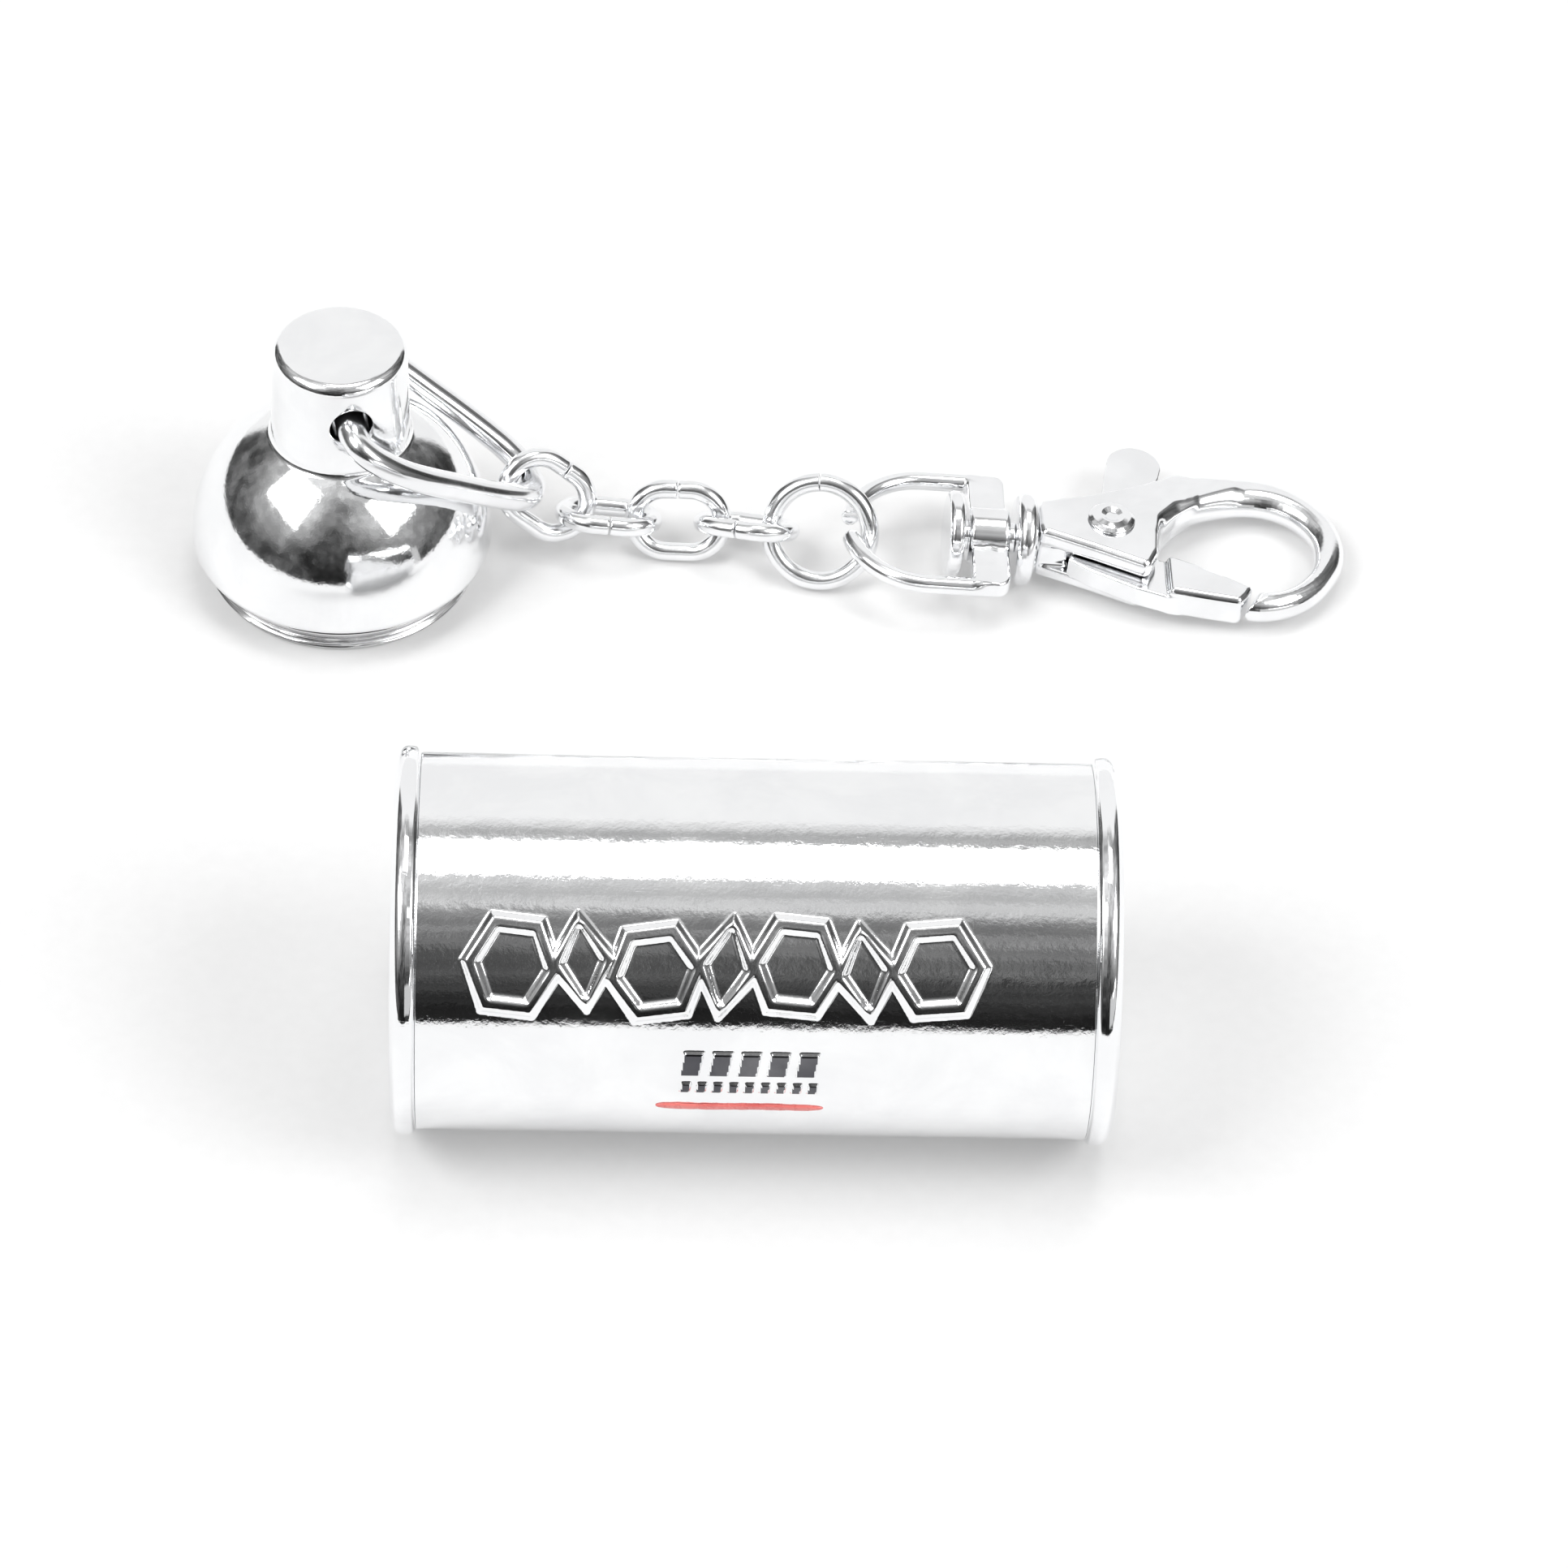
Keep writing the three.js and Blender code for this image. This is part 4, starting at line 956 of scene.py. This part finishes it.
lev = [(12.9, -2.35), (14.5, -3.45), (17.6, -4.95), (19.6, -5.6), (20.6, -5.75), (20.6, -2.2), (19.3, -1.85)] + arc_pts(PIV[0], PIV[1], 2.6, -20, 24, 8) + \
    [(18.55, 3.9), (19.75, 6.6)] + arc_pts(18.05, 7.8, 1.92, -8, 180, 28) + [(15.7, 5.0), (15.1, 3.0)] + arc_pts(PIV[0], PIV[1], 2.6, 110, 205, 16)
bar = [(19.7, -5.6, .3), (22.59, -6.05, 3), (24.62, -6.3, .5), (25.2, -5.5, .7), (25.6, -4.62, .35), (23.71, -3.6, 2), (21.72, -2.6, 2), (20.4, -2.05, 1), (19.7, -1.9, .3)]
P_BAR = fillet(bar, 8, True, 9)


def f_lever(u, v, w):
    d = slab(poly_sd(u, v, lev), w, -1.05, 0.5, 0.14)
    d = smin(d, slab(poly_sd(u, v, P_BAR), w, -1.2, 1.2, 0.5), 0.3)
    c = np.sqrt((u - PIV[0]) ** 2 + (v - PIV[1]) ** 2)
    d = smax(d, -(c - 0.95), 0.05)
    pocket = np.maximum(c - 2.05, -(w + 0.45))
    return smax(d, -pocket, 0.05)


v, f, n = cast(f_lever, (11.8, -7.0, -1.7), (26.2, 10.3, 1.7), H)
add_object("gate_lever_cast", v, f, CLASP, "gate", ["gate_lever"], [MAT_CAST], normals=n)


def at_pivot(v):
    return np.asarray(v) + np.array([PIV[0], PIV[1], 0.0])


riv = fillet([(0, -2.06), (0.9, -2.06, 0.12), (0.9, 2.13, 0.02), (1.66, 2.12, 0.1), (1.62, 2.3, 0.14), (1.32, 2.5, 0.35), (0.8, 2.64, 0.16), (0.42, 2.46, 0.14), (0, 2.38)], 8)
v, f, _ = lathe(riv, 88, "z")
add_object("gate_rivet_headed", at_pivot(v), f, CLASP, "claw", ["gate_rivet"], [MAT_CHROME], sharp=50)

# spring: fine coil
turns, pitch, sr_, wr = 2.0, 0.29, 1.6, 0.13
nn, mm_ = 160, 12
hv = []
for i in range(nn + 1):
    t = i / nn * turns * 2 * math.pi
    c = np.array([sr_ * math.cos(t), sr_ * math.sin(t), -0.27 + pitch * turns * i / nn])
    nrm = np.array([math.cos(t), math.sin(t), 0.0])
    for j in range(mm_):
        q = 2 * math.pi * j / mm_
        hv.append(c + wr * (math.cos(q) * nrm + math.sin(q) * UP))
hf = grid_faces(nn + 1, mm_, False, True).tolist()
hv += [np.array(hv[:mm_]).mean(0), np.array(hv[nn * mm_:(nn + 1) * mm_]).mean(0)]
k0, k1 = len(hv) - 2, len(hv) - 1
hf += [[k0, (j + 1) % mm_, j][::-1] for j in range(mm_)] + [[k1, nn * mm_ + j, nn * mm_ + (j + 1) % mm_][::-1] for j in range(mm_)]
add_object("gate_spring_coil", at_pivot(hv), hf, CLASP, "claw", ["gate_spring"], [MAT_SPRING], sharp=60)

# ---------------------------------------------------------------- floor and light
fm = bpy.data.materials.new("floor_paper")
fm.use_nodes = True
N = Nodes(fm.node_tree)
out = N.add("ShaderNodeOutputMaterial")
bsdf = N.add("ShaderNodeBsdfPrincipled")
N.t.links.new(bsdf.outputs[0], out.inputs[0])
co = N.add("ShaderNodeTexCoord").outputs["Object"]
N.put(bsdf.inputs["Base Color"], N.mixcol(N.noise(co, 900.0, 4.0), (0.49, 0.49, 0.49, 1), (0.53, 0.53, 0.53, 1)))
# a translucent white sheet, lit a little from below, keeps the contact shadows light
bsdf.inputs["Emission Color"].default_value = (1.0, 1.0, 1.0, 1.0)
bsdf.inputs["Emission Strength"].default_value = 0.23
bsdf.inputs["Roughness"].default_value = 0.9
bsdf.inputs["Specular IOR Level"].default_value = 0.1
floor_mesh = bpy.data.meshes.new("floor")
x0, x1, y0, y1 = -0.9, 0.9, float(CAD_LO.y) - 0.165, 1.0
floor_mesh.from_pydata([(x0, y0, -2e-5), (x1, y0, -2e-5), (x1, y1, -2e-5), (x0, y1, -2e-5)], [], [(0, 1, 2, 3)])
floor_mesh.materials.append(fm)
floor = bpy.data.objects.new("floor", floor_mesh)
bpy.context.scene.collection.objects.link(floor)

world = bpy.data.worlds.new("studio")
bpy.context.scene.world = world
world.use_nodes = True
N = Nodes(world.node_tree)
wout = N.add("ShaderNodeOutputWorld")
bg = N.add("ShaderNodeBackground")
N.t.links.new(bg.outputs[0], wout.inputs[0])
d = N.add("ShaderNodeTexCoord").outputs["Generated"]
dn = N.add("ShaderNodeVectorMath", operation="NORMALIZE")
N.put(dn.inputs[0], d)
d = dn.outputs[0]
sep = N.add("ShaderNodeSeparateXYZ")
N.put(sep.inputs[0], d)
dx, dy, dz = sep.outputs


def panel(corners, soft):
    """1 inside the solid angle of a convex panel seen from the object."""
    c = [unit(q) for q in corners]
    mid = unit(sum(c))
    val = None
    for a, b in zip(c, c[1:] + c[:1]):
        nrm = unit(np.cross(a, b))
        if nrm @ mid < 0:
            nrm = -nrm
        e = N.ramp(N.dot(d, nrm), -soft, soft)
        val = e if val is None else N.math("MINIMUM", val, e)
    return val


Q1 = [(-.80, -.11, .59), (-.57, .04, .82), (-.25, -.35, .90), (-.55, -.62, .56)]
Q2 = [(.36, -.44, .82), (.57, .02, .82), (.85, -.14, .51), (.65, -.59, .48)]
s87, c87, s108, c108 = math.sin(rad(87)), math.cos(rad(87)), math.sin(rad(108)), math.cos(rad(108))
TOPP = [(-.10, -c87, s87), (.24, -c87, s87), (.24, -c108, s108), (-.10, -c108, s108)]
SLIT = [(.42, -.86, .30), (.82, -.52, .25), (.83, -.52, .20), (.46, -.85, .25)]
STEP = [(.20, -.95, .30), (.88, -.44, .17), (.90, -.44, -.02), (.20, -.96, -.02)]
clutter = N.ramp(N.noise(d, 3.4, 5.0, 0.62, 0.6), 0.3, 0.72, 0.35, 1.75)
fine = N.ramp(N.noise(d, 9.0, 5.0, 0.65, 0.8), 0.32, 0.68, 0.5, 1.55)
room = N.math("ADD", 0.012, N.math("MULTIPLY", 0.36, N.math("POWER", N.math("MAXIMUM", dz, 0.0), 1.9)))
side = N.math("MULTIPLY", 0.075, N.ramp(N.math("ABSOLUTE", dx), 0.15, 0.6))
room = N.math("MULTIPLY", N.math("ADD", room, side), N.math("MULTIPLY", clutter, fine))
glow1 = N.ramp(N.dot(d, unit(sum(np.array(q) for q in Q1))), 0.72, 0.95, 0.0, 0.26)
glow2 = N.ramp(N.dot(d, unit(sum(np.array(q) for q in Q2))), 0.74, 0.95, 0.0, 0.22)
glow3 = N.ramp(N.dot(d, (0.05, 0.13, 0.99)), 0.62, 0.985, 0.0, 0.12)
room = N.math("ADD", room, N.math("ADD", glow3, N.math("MAXIMUM", glow1, glow2)))
# pale sweep behind: up to 56 deg, as wide as the paper
sweep = N.math("MULTIPLY", N.ramp(N.math("SUBTRACT", N.math("MULTIPLY", dy, 1.0), N.math("MULTIPLY", N.math("ABSOLUTE", dx), 1.15)), -0.04, 0.12),
               N.ramp(dz, 0.80, 0.90, 1.0, 0.0))
sweep = N.math("MULTIPLY", sweep, N.ramp(dy, 0.0, 0.12))
base = N.math("ADD", N.math("MULTIPLY", room, N.math("SUBTRACT", 1.0, sweep)), N.math("MULTIPLY", 0.95, sweep))
step_p = panel(STEP, 0.02)
base = N.math("ADD", N.math("MULTIPLY", base, N.math("SUBTRACT", 1.0, step_p)), N.math("MULTIPLY", 0.62, step_p))
below = N.ramp(dz, -0.115, -0.09, 1.0, 0.0)
base = N.math("ADD", N.math("MULTIPLY", base, N.math("SUBTRACT", 1.0, below)), N.math("MULTIPLY", 0.98, below))
lamps = N.math("MULTIPLY", panel(Q1, 0.03), 8.0)
lamps = N.math("ADD", lamps, N.math("MULTIPLY", panel(Q2, 0.03), 7.0))
lamps = N.math("ADD", lamps, N.math("MULTIPLY", panel(TOPP, 0.03), 6.0))
lamps = N.math("ADD", lamps, N.math("MULTIPLY", panel(SLIT, 0.01), 3.0))
lamps = N.math("ADD", lamps, N.ramp(N.dot(d, unit((-.17, -.02, .98))), 0.9990, 0.9996, 0.0, 5.0))
total = N.math("ADD", base, lamps)
comb = N.add("ShaderNodeCombineColor")
for i_, k_ in enumerate((1.0, 1.0, 1.0)):
    N.put(comb.inputs[i_], N.math("MULTIPLY", total, k_))
N.t.links.new(comb.outputs[0], bg.inputs[0])
bg.inputs[1].default_value = 1.0
